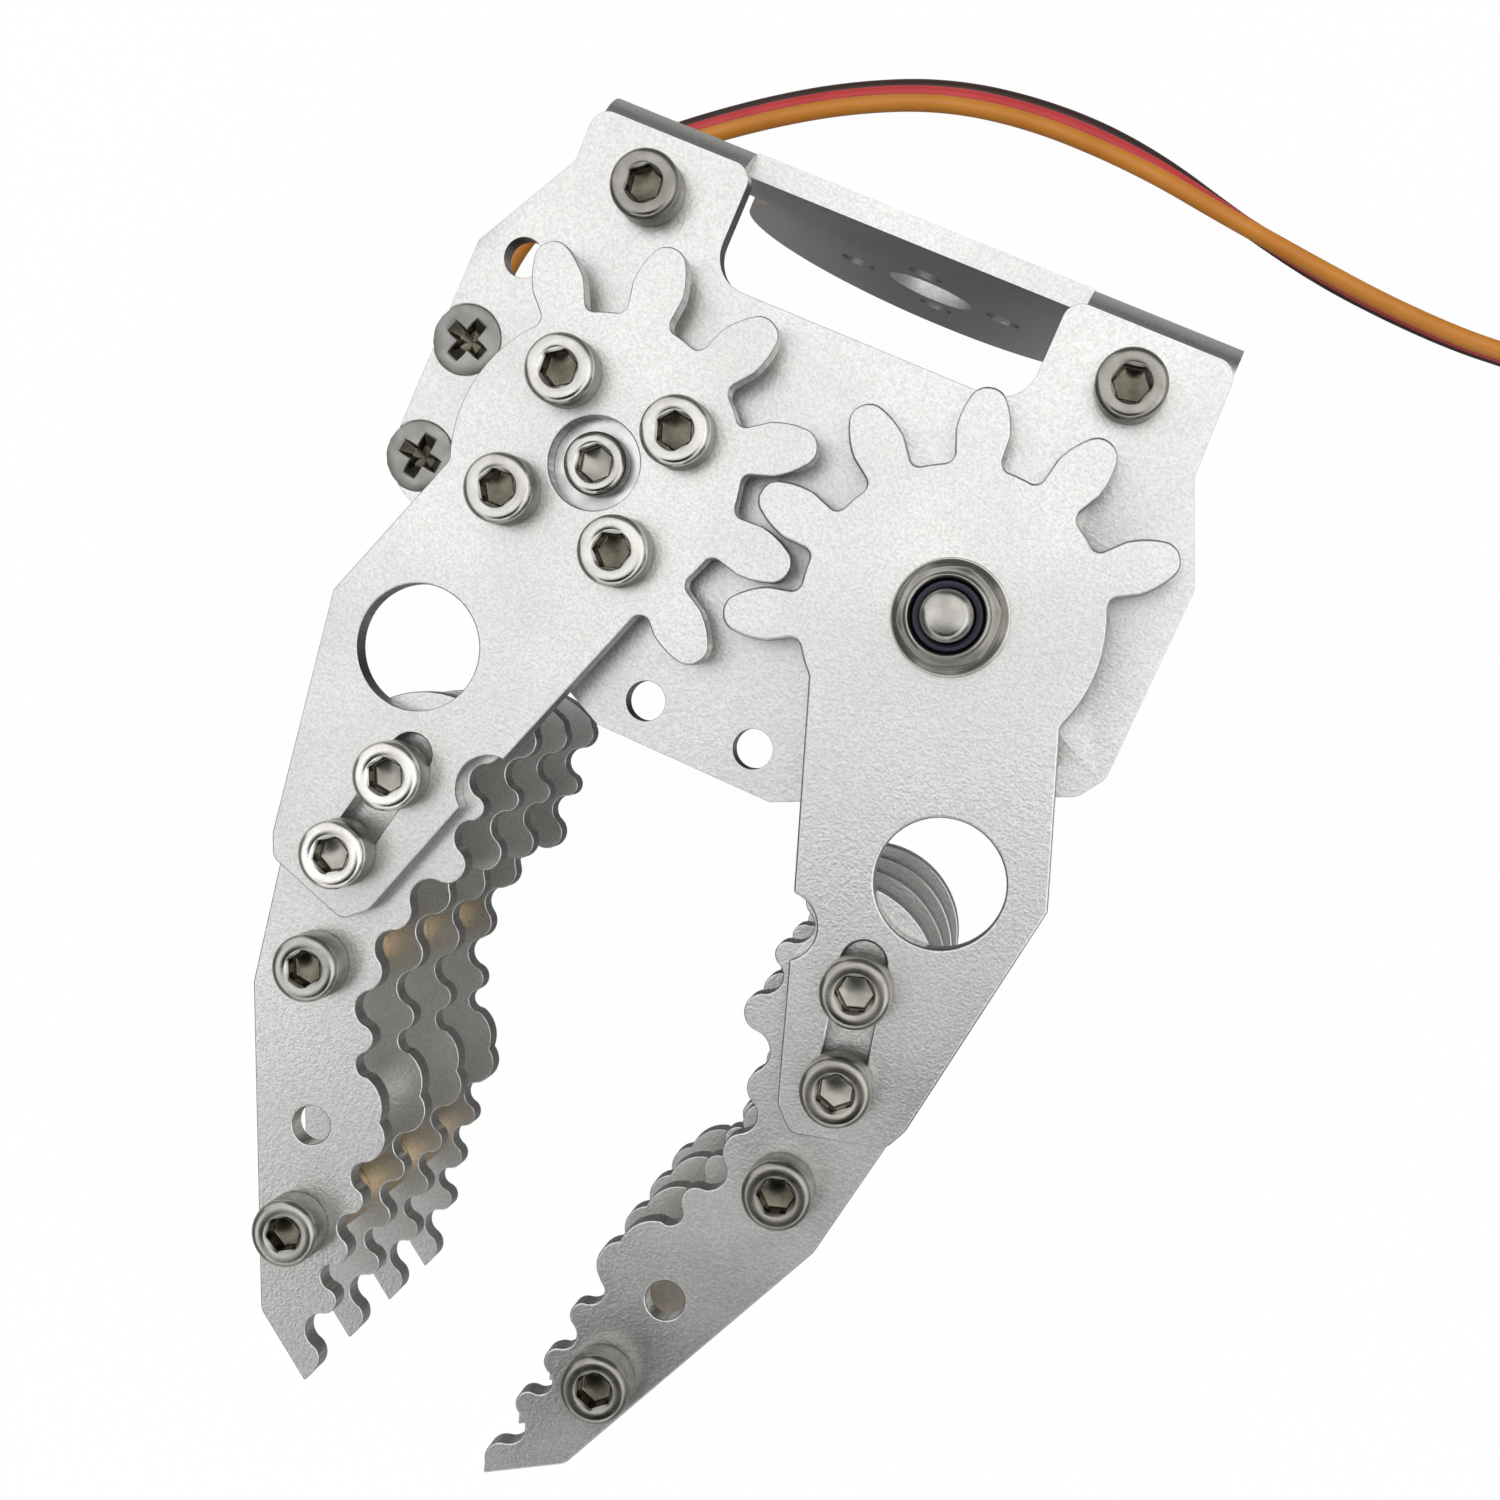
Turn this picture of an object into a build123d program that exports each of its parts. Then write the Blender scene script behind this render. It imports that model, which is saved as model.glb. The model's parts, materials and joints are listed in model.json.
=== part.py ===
from build123d import *
from math import acos, cos, hypot, pi, radians, sin, tan
import os

# Frame: origin at the centre of the wrist flange's outer face, +Y out of the gripper towards the
# robot's wrist, -Y towards the finger tips, +X across the two fingers, +Z up out of the plates.
# The gripper is modelled in the half-open pose in which its fingers are set, in millimetres.

# Sheet parts
plate = 2.0  # thickness of every flat plate
gear_reach = 27.8  # wrist face to the line through the two gear axes
axis_gap = 30.0  # centre distance of the two gear arms
wrist_height = 23.0  # wrist axis to the top face of the base plate
arm_lift = 2.0  # base plate's top face to the underside of the gear arms
finger_spacer = 8.0  # length of the tubes between the finger plates
layer_count = 4  # finger plates on each side

# Screws and their holes
screw_d = 3.0
head_d = 5.5
head_h = 3.0
socket_across = 2.5
socket_depth = 1.4
nut_across = 5.5
nut_h = 2.4
hole_clearance = 0.1  # radial, screw in its clearance hole
thread_clearance = 0.02  # radial, screw in its nut
tube_wall = 1.0
hole_r = screw_d / 2 + hole_clearance
thread_bore_r = screw_d / 2 + thread_clearance

# Levels
base_top = wrist_height
base_low = base_top - plate
arm_low = base_top + arm_lift
arm_top = arm_low + plate
layer_pitch = plate + finger_spacer
stack_low = arm_low - plate - (layer_count - 1) * layer_pitch


def layer_plane(level, y=-gear_reach):
    return Plane(origin=(0, y, level))


def gear_y(shape):
    """How far a shape's centre lies towards the wrist from the line through the gear axes."""
    return shape.center().Y + gear_reach


def hex_nut(across, height, bore_r):
    """A plain hexagon nut whose seat is at the origin and whose body hangs below it."""
    with BuildPart() as nut:
        with BuildSketch():
            RegularPolygon(across / 2, 6, major_radius=False)
            Circle(bore_r, mode=Mode.SUBTRACT)
        extrude(amount=-height)
    return nut.part


def cap_screw(length, shank=screw_d, head=head_d, height=head_h, across=socket_across):
    """A socket head screw seated at the origin, with its shank pointing down."""
    with BuildPart() as screw:
        Cylinder(head / 2, height, align=(Align.CENTER, Align.CENTER, Align.MIN))
        with BuildSketch(Plane.XY.offset(height)):
            RegularPolygon(across / 2, 6, major_radius=False)
        extrude(amount=-socket_depth, mode=Mode.SUBTRACT)
        Cylinder(shank / 2, length, align=(Align.CENTER, Align.CENTER, Align.MAX))
    return screw.part


def tube(outer_r, bore_r, length):
    """A tube standing on the origin."""
    with BuildPart() as body:
        Cylinder(outer_r, length, align=(Align.CENTER, Align.CENTER, Align.MIN))
        Cylinder(bore_r, length, align=(Align.CENTER, Align.CENTER, Align.MIN), mode=Mode.SUBTRACT)
    return body.part


def keep(shape, name):
    """Labels one finished piece and writes it under its own name."""
    shape.label = name
    export_step(shape, f"parts/{name}.step")


def copies(piece, places, level):
    """The same piece at several places, measured from the line through the gear axes."""
    with BuildPart() as group:
        with Locations(*[(x, y - gear_reach, level) for x, y in places]):
            add(piece)
    return group.part


def keep_copies(piece, places, level, name):
    keep(copies(piece, places, level), name)


os.makedirs("parts", exist_ok=True)

# Base plate: two ears at the wrist, a wide middle and a narrow nose between the fingers
ear_half = 26.9
ear_inner = 13.3
ear_end = gear_reach - plate  # this and the next heights are counted from the gear line
notch_floor = gear_reach - 11.1
waist_half = 31.2
nose_half = 7.6
nose_end = -18.9
base_corner = 1.5
notch_corner = 3.0
ear_screw_x = 20.2
ear_screw_y = gear_reach - 6.6
horn_window = 22.4
nose_hole_x = 4.7
nose_hole_y = -15.6
lead_hole_x = -27.8
lead_hole_y = 12.7

# Servo, of the common 40 x 20 mm size, hung under the base plate on four spacer tubes
servo_drop = 4.0  # base plate's underside to the top of the servo's case
case_length = 40.7
case_width = 19.7
case_height = 37.0
case_wall = 1.6
shaft_inset = 10.2  # output axis to the near end of the case
ear_reach = 6.9
servo_ear_thickness = 2.5
servo_ear_low = 26.8  # case bottom to the underside of its ears
ear_hole_x = case_length + 8.8
ear_hole_y = 10.0

drive_x = -axis_gap / 2
driven_x = axis_gap / 2
case_top = base_low - servo_drop
case_low = case_top - case_height
case_mid_x = drive_x - shaft_inset + case_length / 2
servo_ear_top = case_low + servo_ear_low + servo_ear_thickness
servo_screws = [
    (case_mid_x + sx * ear_hole_x / 2, sy * ear_hole_y / 2) for sx in (-1, 1) for sy in (-1, 1)
]
bracket_screws = [(-ear_screw_x, ear_screw_y), (ear_screw_x, ear_screw_y)]
sink_d = 5.8

pivot_d = 4.0
pivot_fit = 0.05  # radial running clearance

with BuildPart() as base_plate:
    with BuildSketch(layer_plane(base_low)):
        with BuildLine():
            Polyline(
                (-ear_inner, notch_floor),
                (-ear_inner, ear_end),
                (-ear_half, ear_end),
                (-ear_half, ear_screw_y),
                (-waist_half - 0.6, 12.6),
                (-waist_half - 0.9, -6.6),
                (1.4 - waist_half, -8.2),
                (-nose_half, nose_end),
                (nose_half, nose_end),
                (waist_half - 2.0, -8.7),
                (waist_half - 0.6, -6.6),
                (waist_half - 0.4, 9.2),
                (ear_half + 0.4, 17.0),
                (ear_half, ear_end),
                (ear_inner, ear_end),
                (ear_inner, notch_floor),
                close=True,
            )
        make_face()
    extrude(amount=plate)
    uprights = base_plate.edges().filter_by(Axis.Z)
    fillet([e for e in uprights if abs(gear_y(e) - notch_floor) < 0.1], notch_corner)
    uprights = base_plate.edges().filter_by(Axis.Z).filter_by(GeomType.LINE)
    corners = [e for e in uprights if gear_y(e) > ear_end - 0.1 or -8.8 < gear_y(e) < -6.5]
    fillet(corners, base_corner)
    with Locations((drive_x, -gear_reach, base_top)):
        Hole(horn_window / 2, plate)
    with Locations((driven_x, -gear_reach, base_top)):
        Hole(pivot_d / 2 + hole_clearance, plate)
    plain_holes = [(-nose_hole_x, nose_hole_y), (nose_hole_x, nose_hole_y), (lead_hole_x, lead_hole_y)]
    with Locations(*[(x, y - gear_reach, base_top) for x, y in plain_holes + bracket_screws]):
        Hole(hole_r, plate)
    with Locations(*[(x, y - gear_reach, base_top) for x, y in servo_screws]):
        CounterSinkHole(hole_r, sink_d / 2, plate)
keep(base_plate.part, "base_plate")

# Wrist bracket: one bent sheet with two tabs under the ears and a round flange across the wrist
tab_inner = 14.5
tab_length = 12.5
bend_r = 3.0
flange_r = 17.5
flange_top = base_low - plate
shoulder_low = base_low - 6.0
neck_half = 14.0
neck_z = 10.5  # above the wrist axis
wrist_bore_d = 8.0
wrist_circle_d = 14.0
wrist_hole_d = 3.2

with BuildPart() as wrist_bracket:
    with BuildSketch(Plane.XZ.offset(plate)):
        with BuildLine():
            Polyline(
                (-neck_half, neck_z),
                (-ear_half, shoulder_low),
                (-ear_half, base_low - bend_r),
                (-tab_inner, base_low - bend_r),
                (-tab_inner, flange_top),
                (tab_inner, flange_top),
                (tab_inner, base_low - bend_r),
                (ear_half, base_low - bend_r),
                (ear_half, shoulder_low),
                (neck_half, neck_z),
            )
            ThreePointArc((neck_half, neck_z), (0, -flange_r), (-neck_half, neck_z))
        make_face()
    extrude(amount=-plate)
    for side in (-1, 1):
        with BuildSketch(Plane.YZ.offset(side * (tab_inner + ear_half) / 2)):
            with BuildLine():
                Line((0, base_low - bend_r), (-plate, base_low - bend_r))
                JernArc((-plate, base_low - bend_r), (0, 1), bend_r - plate, 90)
                Polyline(
                    (-bend_r, flange_top), (-bend_r - tab_length, flange_top),
                    (-bend_r - tab_length, base_low), (-bend_r, base_low),
                )
                JernArc((-bend_r, base_low), (1, 0), bend_r, -90)
            make_face()
        extrude(amount=(ear_half - tab_inner) / 2, both=True)
    with Locations(Plane.XZ):
        Hole(wrist_bore_d / 2, 2 * plate)
        with PolarLocations(wrist_circle_d / 2, 4):
            Hole(wrist_hole_d / 2, 2 * plate)
    with Locations(*[(x, y - gear_reach, base_low) for x, y in bracket_screws]):
        Hole(hole_r, plate)
keep(wrist_bracket.part, "wrist_bracket")

bracket_screw_length = 8.0
nut = hex_nut(nut_across, nut_h, thread_bore_r)
keep_copies(cap_screw(bracket_screw_length), bracket_screws, base_top, "bracket_screws")
keep_copies(nut, bracket_screws, flange_top, "bracket_nuts")

# Gear arms: a sheet sector with involute teeth and a forearm that carries one finger
tooth_round = 11  # teeth that a full wheel of this size would have
tooth_count = 6
pressure_angle = radians(20)
tip_r = 17.4
root_r = 11.6
backlash = 0.3
root_fillet = 0.8
root_band = 0.3  # how far from the root circle an inner corner of the outline may lie
tip_fillet = 1.45
arm_corner = 1.2
drive_first_tooth = -38.5  # degrees from +X, in the pose modelled
pitch_r = axis_gap / 2
tooth_pitch = 360 / tooth_round
lightening_r = 5.0
lightening_at = (7.4, -18.7)
slot_r = hole_r + 0.1
slot_from = (4.6, -26.7)
slot_to = (6.75, -36.5)
edge_notch_r = 2.7
edge_notch_at = (-2.3, -26.7)
centre_hole_r = 3.65
horn_circle_d = 14.4
horn_screw_turn = 40.0
bush_r = 3.0


def involute(angle):
    return tan(angle) - angle


def polar(radius, angle):
    return (radius * cos(angle), radius * sin(angle))


def tooth():
    """One involute tooth of a gear arm, pointing along +X from the gear's centre."""
    base_r = pitch_r * cos(pressure_angle)
    half = pi / (2 * tooth_round) - backlash / (2 * pitch_r) + involute(pressure_angle)
    flank_radii = [base_r, (base_r + tip_r) / 2, tip_r]
    lower = [polar(r, involute(acos(base_r / r)) - half) for r in flank_radii]
    upper = [(x, -y) for x, y in lower]
    foot_r = root_r * 0.9
    with BuildSketch(mode=Mode.PRIVATE) as face:
        with BuildLine():
            Line(polar(foot_r, -half), lower[0])
            ThreePointArc(*lower)
            ThreePointArc(lower[-1], (tip_r, 0), upper[-1])
            ThreePointArc(*reversed(upper))
            Line(upper[0], polar(foot_r, half))
            Line(polar(foot_r, half), polar(foot_r, -half))
        make_face()
        fillet([v for v in face.vertices() if hypot(v.X, v.Y) > tip_r - 0.01], tip_fillet)
    return face.sketch


def gear_arm(first_tooth, hub_r, screw_turn=None):
    """A gear arm of the +X side with its gear on the origin; first_tooth is in degrees."""
    with BuildPart() as arm:
        with BuildSketch() as outline:
            Circle(root_r)
            fan = (tooth_count - 1) * tooth_pitch
            with PolarLocations(0, tooth_count, first_tooth - fan, fan, endpoint=True):
                add(tooth())
            with BuildLine():
                Polyline(
                    (-4.0, 0.0), (-8.7, -6.6), (-0.4, -29.8), (2.9, -39.5), (4.7, -41.2),
                    (11.9, -39.0), (12.7, -37.2), (15.6, -17.3), (10.4, -3.2), close=True,
                )
            make_face()
            far = [v for v in outline.vertices() if v.Y < -30]
            fillet(far, arm_corner)
            at_root = [v for v in outline.vertices() if abs(hypot(v.X, v.Y) - root_r) < root_band]
            fillet(at_root, root_fillet)
            with Locations(edge_notch_at):
                Circle(edge_notch_r, mode=Mode.SUBTRACT)
            with Locations(lightening_at):
                Circle(lightening_r, mode=Mode.SUBTRACT)
            middle = (Vector(*slot_from) + Vector(*slot_to)) / 2
            SlotCenterPoint(middle, slot_to, 2 * slot_r, mode=Mode.SUBTRACT)
            Circle(hub_r, mode=Mode.SUBTRACT)
            if screw_turn is not None:
                with PolarLocations(horn_circle_d / 2, 4, screw_turn):
                    Circle(hole_r, mode=Mode.SUBTRACT)
        extrude(amount=plate)
    return arm.part


driven_blank = gear_arm(180 - drive_first_tooth - tooth_pitch / 2, bush_r + pivot_fit)
with BuildPart() as driven_arm:
    with Locations((driven_x, -gear_reach, arm_low)):
        add(driven_blank)
keep(driven_arm.part, "driven_arm")

mirrored_blank = gear_arm(180 - drive_first_tooth, centre_hole_r, 180 - horn_screw_turn)
with BuildPart() as mirrored_arm:
    with Locations((-drive_x, -gear_reach, arm_low)):
        add(mirrored_blank)
with BuildPart() as drive_arm:
    mirror(mirrored_arm.part, Plane.YZ)
keep(drive_arm.part, "drive_arm")

# Finger plates: the scalloped inner edge runs from the palm end to the tip, lobes and hollows by turns
grip_edge = [
    (14.3, -22.2), (13.45, -23.5), (14.9, -27.0), (12.9, -28.7), (14.35, -31.2), (12.45, -33.8),
    (15.8, -37.2), (15.05, -39.3), (16.9, -42.2), (15.35, -44.7), (16.5, -47.6), (13.95, -50.0),
    (14.6, -51.9), (11.9, -53.4), (9.8, -57.9), (11.4, -60.4), (9.5, -62.5), (10.8, -64.7),
    (9.05, -66.9), (10.5, -69.2), (8.35, -71.0), (10.0, -73.6), (7.75, -76.4), (8.3, -78.1),
]
back_edge = [(14.0, -74.3), (25.15, -49.6), (26.95, -39.2), (26.0, -28.0)]
palm_end = (20.4, -21.7)
back_corner = 1.5
slot_screws = [(20.0, -28.6), (21.65, -36.1)]
stack_screws = [(20.75, -45.9), (13.95, -66.4)]
spare_hole = (16.05, -58.35)


def middle_of(a, b):
    return ((a[0] + b[0]) / 2, (a[1] + b[1]) / 2)


def finger_plate():
    """The +X finger's plate on the gear line, its underside at height zero."""
    joins = [middle_of(a, b) for a, b in zip(grip_edge, grip_edge[1:])]
    with BuildPart() as finger:
        with BuildSketch() as outline:
            with BuildLine():
                for start, peak, end in zip(joins, grip_edge[1:-1], joins[1:]):
                    ThreePointArc(start, peak, end)
                Polyline(joins[-1], grip_edge[-1], *back_edge)
                ThreePointArc(back_edge[-1], palm_end, grip_edge[0])
                Line(grip_edge[0], joins[0])
            make_face()
            backs = [v for v in outline.vertices() if (v.X, v.Y) in back_edge[:3]]
            fillet(backs, back_corner)
            with Locations(*slot_screws, *stack_screws, spare_hole):
                Circle(hole_r, mode=Mode.SUBTRACT)
        extrude(amount=plate)
    return finger.part


def keep_pair(right_piece, name):
    """Writes a piece of the right finger and its mirror image on the left one."""
    keep(right_piece, f"right_{name}")
    with BuildPart() as left_piece:
        mirror(right_piece, Plane.YZ)
    keep(left_piece.part, f"left_{name}")


slot_screw_length = 8.0
stack_screw_length = 35.0
one_plate = finger_plate()
for layer in range(layer_count):
    with BuildPart() as finger_layer:
        with Locations((0, -gear_reach, arm_low - plate - layer * layer_pitch)):
            add(one_plate)
    keep_pair(finger_layer.part, f"finger_plate_{layer + 1}")

finger_tube = tube(hole_r + tube_wall, hole_r, finger_spacer)
with BuildPart() as finger_tubes:
    for layer in range(1, layer_count):
        with Locations(*[(x, y - gear_reach, arm_low - layer * layer_pitch) for x, y in stack_screws]):
            add(finger_tube)
keep_pair(finger_tubes.part, "finger_spacers")
keep_pair(copies(cap_screw(stack_screw_length), stack_screws, arm_low), "finger_screws")
keep_pair(copies(nut, stack_screws, stack_low), "finger_nuts")
keep_pair(copies(cap_screw(slot_screw_length), slot_screws, arm_top), "slot_screws")
keep_pair(copies(nut, slot_screws, arm_low - plate), "slot_nuts")

# Servo: three case shells, the gear train between them, and the motor, pot and board below it
cover_height = 6.0
gear_floor = 1.8
chamber_height = 5.6
post_r = 2.0
boss_r = 6.5
boss_height = 1.8
case_screw_d = 2.0
case_head_d = 3.6
case_head_h = 1.3
case_socket = 1.0
post_roof = 1.0  # solid top over the case screws' holes
chamber_low = case_top - case_wall - chamber_height
floor_low = chamber_low - gear_floor
cover_top = case_low + cover_height
boss_top = case_top + boss_height
cavity_length = case_length - 2 * case_wall
cavity_width = case_width - 2 * case_wall
shell_gap = 0.15  # clearance round what sits loose inside the case
case_posts = [
    (case_mid_x + sx * (case_length / 2 - post_r), sy * (case_width / 2 - post_r))
    for sx in (-1, 1)
    for sy in (-1, 1)
]

# Gear train: wheels of 24 and pinions of 8 teeth on the output axis and on one pin beside it
wheel_teeth = 24
pinion_teeth = 8
wheel_module = 0.6
tooth_rise = 0.3  # above the pitch circle
tooth_sink = 0.55  # below it
tooth_foot = 0.62  # share of half the tooth spacing at the root circle
tooth_crest = 0.3  # the same at the tip circle
wheel_h = 1.2
wheel_gap = 0.2
level_pitch = wheel_h + wheel_gap
axis_slack = 0.1
train_step = wheel_module * (wheel_teeth + pinion_teeth) / 2 + axis_slack
pin_x = drive_x + train_step
motor_x = pin_x + train_step
pin_r = 0.9
pin_top = case_top - case_wall / 2
stub_r = 1.5
journal_r = 3.0
spline_r = 2.95
bearing_r = 5.0
bearing_h = 2.7
bearing_top = boss_top - 0.6
motor_r = 7.7
motor_length = 20.0
motor_low = floor_low - motor_length
motor_shaft_r = 1.0
pot_r = 5.0
pot_height = 6.0
board_size = (28.0, 13.5, 1.2)
board_lift = 2.2
board_foot = 2.0
board_low = case_low + case_wall + board_lift


def block(length, width, low, high, mode=Mode.ADD):
    """A box round the case's own middle, between two heights."""
    with Locations((case_mid_x, -gear_reach, low)):
        Box(length, width, high - low, align=(Align.CENTER, Align.CENTER, Align.MIN), mode=mode)


def round_bar(places, radius, low, high, mode=Mode.ADD):
    """Upright cylinders between two heights, at places measured from the gear line."""
    with Locations(*[(x, y - gear_reach, low) for x, y in places]):
        Cylinder(radius, high - low, align=(Align.CENTER, Align.CENTER, Align.MIN), mode=mode)


drive_axis = [(drive_x, 0)]
pin_axis = [(pin_x, 0)]
motor_axis = [(motor_x, 0)]
pivot_axis = [(driven_x, 0)]

with BuildPart() as servo_bottom_cover:
    block(case_length, case_width, case_low, cover_top)
    block(cavity_length, cavity_width, case_low + case_wall, cover_top, Mode.SUBTRACT)
    round_bar(case_posts, post_r, case_low, cover_top)
    round_bar(case_posts, case_screw_d / 2 + hole_clearance, case_low, cover_top, Mode.SUBTRACT)
    round_bar(case_posts, case_head_d / 2, case_low, case_low + case_head_h, Mode.SUBTRACT)
keep(servo_bottom_cover.part, "servo_bottom_cover")

with BuildPart() as servo_case:
    block(case_length, case_width, cover_top, chamber_low)
    block(case_length + 2 * ear_reach, case_width, servo_ear_top - servo_ear_thickness, servo_ear_top)
    block(cavity_length, cavity_width, cover_top, floor_low, Mode.SUBTRACT)
    round_bar(case_posts, post_r, cover_top, chamber_low)
    round_bar(case_posts, case_screw_d / 2 + hole_clearance, cover_top, chamber_low, Mode.SUBTRACT)
    round_bar(servo_screws, hole_r, cover_top, chamber_low, Mode.SUBTRACT)
    round_bar(drive_axis, stub_r + pivot_fit, cover_top, chamber_low, Mode.SUBTRACT)
    round_bar(pin_axis, pin_r, cover_top, chamber_low, Mode.SUBTRACT)
    round_bar(motor_axis, motor_shaft_r + shell_gap, cover_top, chamber_low, Mode.SUBTRACT)
keep(servo_case.part, "servo_case")

with BuildPart() as servo_top_cover:
    block(case_length, case_width, chamber_low, case_top)
    block(cavity_length, cavity_width, chamber_low, case_top - case_wall, Mode.SUBTRACT)
    round_bar(drive_axis, boss_r, case_top - case_wall, boss_top)
    round_bar(case_posts, post_r, chamber_low, case_top)
    screw_hole_r = case_screw_d / 2 + thread_clearance
    round_bar(case_posts, screw_hole_r, chamber_low, case_top - post_roof, Mode.SUBTRACT)
    round_bar(drive_axis, bearing_r, chamber_low, bearing_top, Mode.SUBTRACT)
    round_bar(drive_axis, journal_r + shell_gap, chamber_low, boss_top, Mode.SUBTRACT)
    round_bar(pin_axis, pin_r, chamber_low, pin_top, Mode.SUBTRACT)
keep(servo_top_cover.part, "servo_top_cover")


def cog(teeth, height):
    """A small straight-sided gear standing on the origin, with one tooth on +X."""
    outer_r = wheel_module * teeth / 2 + tooth_rise
    inner_r = wheel_module * teeth / 2 - tooth_sink
    foot_at = inner_r * 0.9
    foot = tooth_foot * pi * inner_r / teeth
    crest = tooth_crest * pi * outer_r / teeth
    with BuildPart() as gear:
        with BuildSketch():
            Circle(inner_r)
            with PolarLocations(0, teeth):
                Polygon((foot_at, -foot), (outer_r, -crest), (outer_r, crest), (foot_at, foot), align=None)
        extrude(amount=height)
    return gear.part


wheel = cog(wheel_teeth, wheel_h)
pinion = cog(pinion_teeth, level_pitch)
half_tooth = 180 / pinion_teeth


def gear_level(step):
    """Underside of one of the four gear levels above the servo's gear floor."""
    return chamber_low + wheel_gap / 2 + step * level_pitch


def idler(x, step, bore_r):
    """A wheel with the pinion above it on one axis, the wheel at the given level."""
    low = gear_level(step)
    with BuildPart() as gear:
        with Locations((x, -gear_reach, low)):
            add(wheel)
        with Locations(Location((x, -gear_reach, low + wheel_h), (0, 0, half_tooth))):
            add(pinion)
        round_bar([(x, 0)], bore_r, low, low + wheel_h + level_pitch, Mode.SUBTRACT)
    return gear.part


keep(idler(pin_x, 0, pin_r + pivot_fit), "servo_first_gear")
keep(idler(drive_x, 1, stub_r + pivot_fit), "servo_second_gear")
keep(idler(pin_x, 2, pin_r + pivot_fit), "servo_third_gear")

with BuildPart() as servo_gear_pin:
    round_bar(pin_axis, pin_r, floor_low, pin_top)
keep(servo_gear_pin.part, "servo_gear_pin")

# Horn: a metal disc on the servo's spline that carries the drive arm
horn_r = 10.0
horn_disc_h = 2.5
horn_hub_r = 4.5
horn_hub_h = 3.5
horn_screw_length = 4.0
centre_head_d = 5.0
centre_head_h = 2.0
centre_screw_length = 7.0
disc_low = arm_low - horn_disc_h
horn_low = disc_low - horn_hub_h
spline_top = arm_low - 2.2
spline_bore_depth = 5.0
horn_screws = [
    (drive_x + x, y)
    for x, y in [polar(horn_circle_d / 2, radians(horn_screw_turn + 90 * i)) for i in range(4)]
]

with BuildPart() as servo_output_shaft:
    round_bar(drive_axis, stub_r, floor_low - pot_height, gear_level(3))
    with Locations((drive_x, -gear_reach, gear_level(3))):
        add(wheel)
    round_bar(drive_axis, journal_r, gear_level(3) + wheel_h, boss_top)
    round_bar(drive_axis, spline_r, boss_top, spline_top)
    round_bar(drive_axis, thread_bore_r, spline_top - spline_bore_depth, spline_top, Mode.SUBTRACT)
keep(servo_output_shaft.part, "servo_output_shaft")

with BuildPart() as servo_bearing:
    round_bar(drive_axis, bearing_r, bearing_top - bearing_h, bearing_top)
    round_bar(drive_axis, journal_r + pivot_fit, bearing_top - bearing_h, bearing_top, Mode.SUBTRACT)
keep(servo_bearing.part, "servo_bearing")

with BuildPart() as servo_motor:
    round_bar(motor_axis, motor_r, motor_low, floor_low)
    round_bar(motor_axis, motor_shaft_r + pivot_fit, motor_low + 1, floor_low, Mode.SUBTRACT)
keep(servo_motor.part, "servo_motor")

with BuildPart() as servo_motor_pinion:
    round_bar(motor_axis, motor_shaft_r, motor_low + 1, gear_level(0))
    with Locations(Location((motor_x, -gear_reach, gear_level(0)), (0, 0, half_tooth))):
        add(pinion)
keep(servo_motor_pinion.part, "servo_motor_pinion")

with BuildPart() as servo_position_pot:
    round_bar(drive_axis, pot_r, floor_low - pot_height, floor_low)
    round_bar(drive_axis, stub_r + pivot_fit, floor_low - pot_height, floor_low, Mode.SUBTRACT)
keep(servo_position_pot.part, "servo_position_pot")

with BuildPart() as servo_circuit_board:
    block(board_size[0], board_size[1], board_low, board_low + board_size[2])
    block(board_foot, board_size[1], board_low - board_lift, board_low)
keep(servo_circuit_board.part, "servo_circuit_board")

case_screw_length = case_height - case_head_h - post_roof - shell_gap
case_screw = cap_screw(case_screw_length, case_screw_d, case_head_d - 0.2, case_head_h, case_socket)
with BuildPart() as servo_case_screws:
    with Locations(*[
        Location((x, y - gear_reach, case_low + case_head_h), (180, 0, 0)) for x, y in case_posts
    ]):
        add(case_screw)
keep(servo_case_screws.part, "servo_case_screws")

# Servo mounting: countersunk screws down through the plate, spacer tubes and the servo's ears
mount_screw_length = 20.0
sink_play = 0.05
cross_length = 3.0
cross_width = 0.7
cross_depth = 0.8
sunk_head_h = (sink_d - screw_d) / 2
hanging = (Align.CENTER, Align.CENTER, Align.MAX)
with BuildPart() as sunk_screw:
    Cylinder(screw_d / 2, mount_screw_length, align=hanging)
    Cone(screw_d / 2, sink_d / 2 - sink_play, sunk_head_h - sink_play, align=hanging)
    Box(cross_length, cross_width, cross_depth, align=hanging, mode=Mode.SUBTRACT)
    Box(cross_width, cross_length, cross_depth, align=hanging, mode=Mode.SUBTRACT)
servo_tube = tube(hole_r + tube_wall, hole_r, base_low - servo_ear_top)
keep_copies(sunk_screw.part, servo_screws, base_top, "servo_mount_screws")
keep_copies(servo_tube, servo_screws, servo_ear_top, "servo_spacers")
keep_copies(nut, servo_screws, servo_ear_top - servo_ear_thickness, "servo_mount_nuts")

with BuildPart() as servo_horn:
    round_bar(drive_axis, horn_r, disc_low, arm_low)
    round_bar(drive_axis, horn_hub_r, horn_low, disc_low)
    spline_bore_r = spline_r + thread_clearance
    round_bar(drive_axis, spline_bore_r, horn_low, spline_top + thread_clearance, Mode.SUBTRACT)
    round_bar(drive_axis, hole_r, horn_low, arm_low, Mode.SUBTRACT)
    round_bar(horn_screws, thread_bore_r, horn_low, arm_low, Mode.SUBTRACT)
keep(servo_horn.part, "servo_horn")
centre_screw = cap_screw(centre_screw_length, screw_d, centre_head_d, centre_head_h)
keep_copies(centre_screw, drive_axis, arm_low, "horn_centre_screw")
keep_copies(cap_screw(horn_screw_length), horn_screws, arm_top, "horn_screws")

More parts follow.
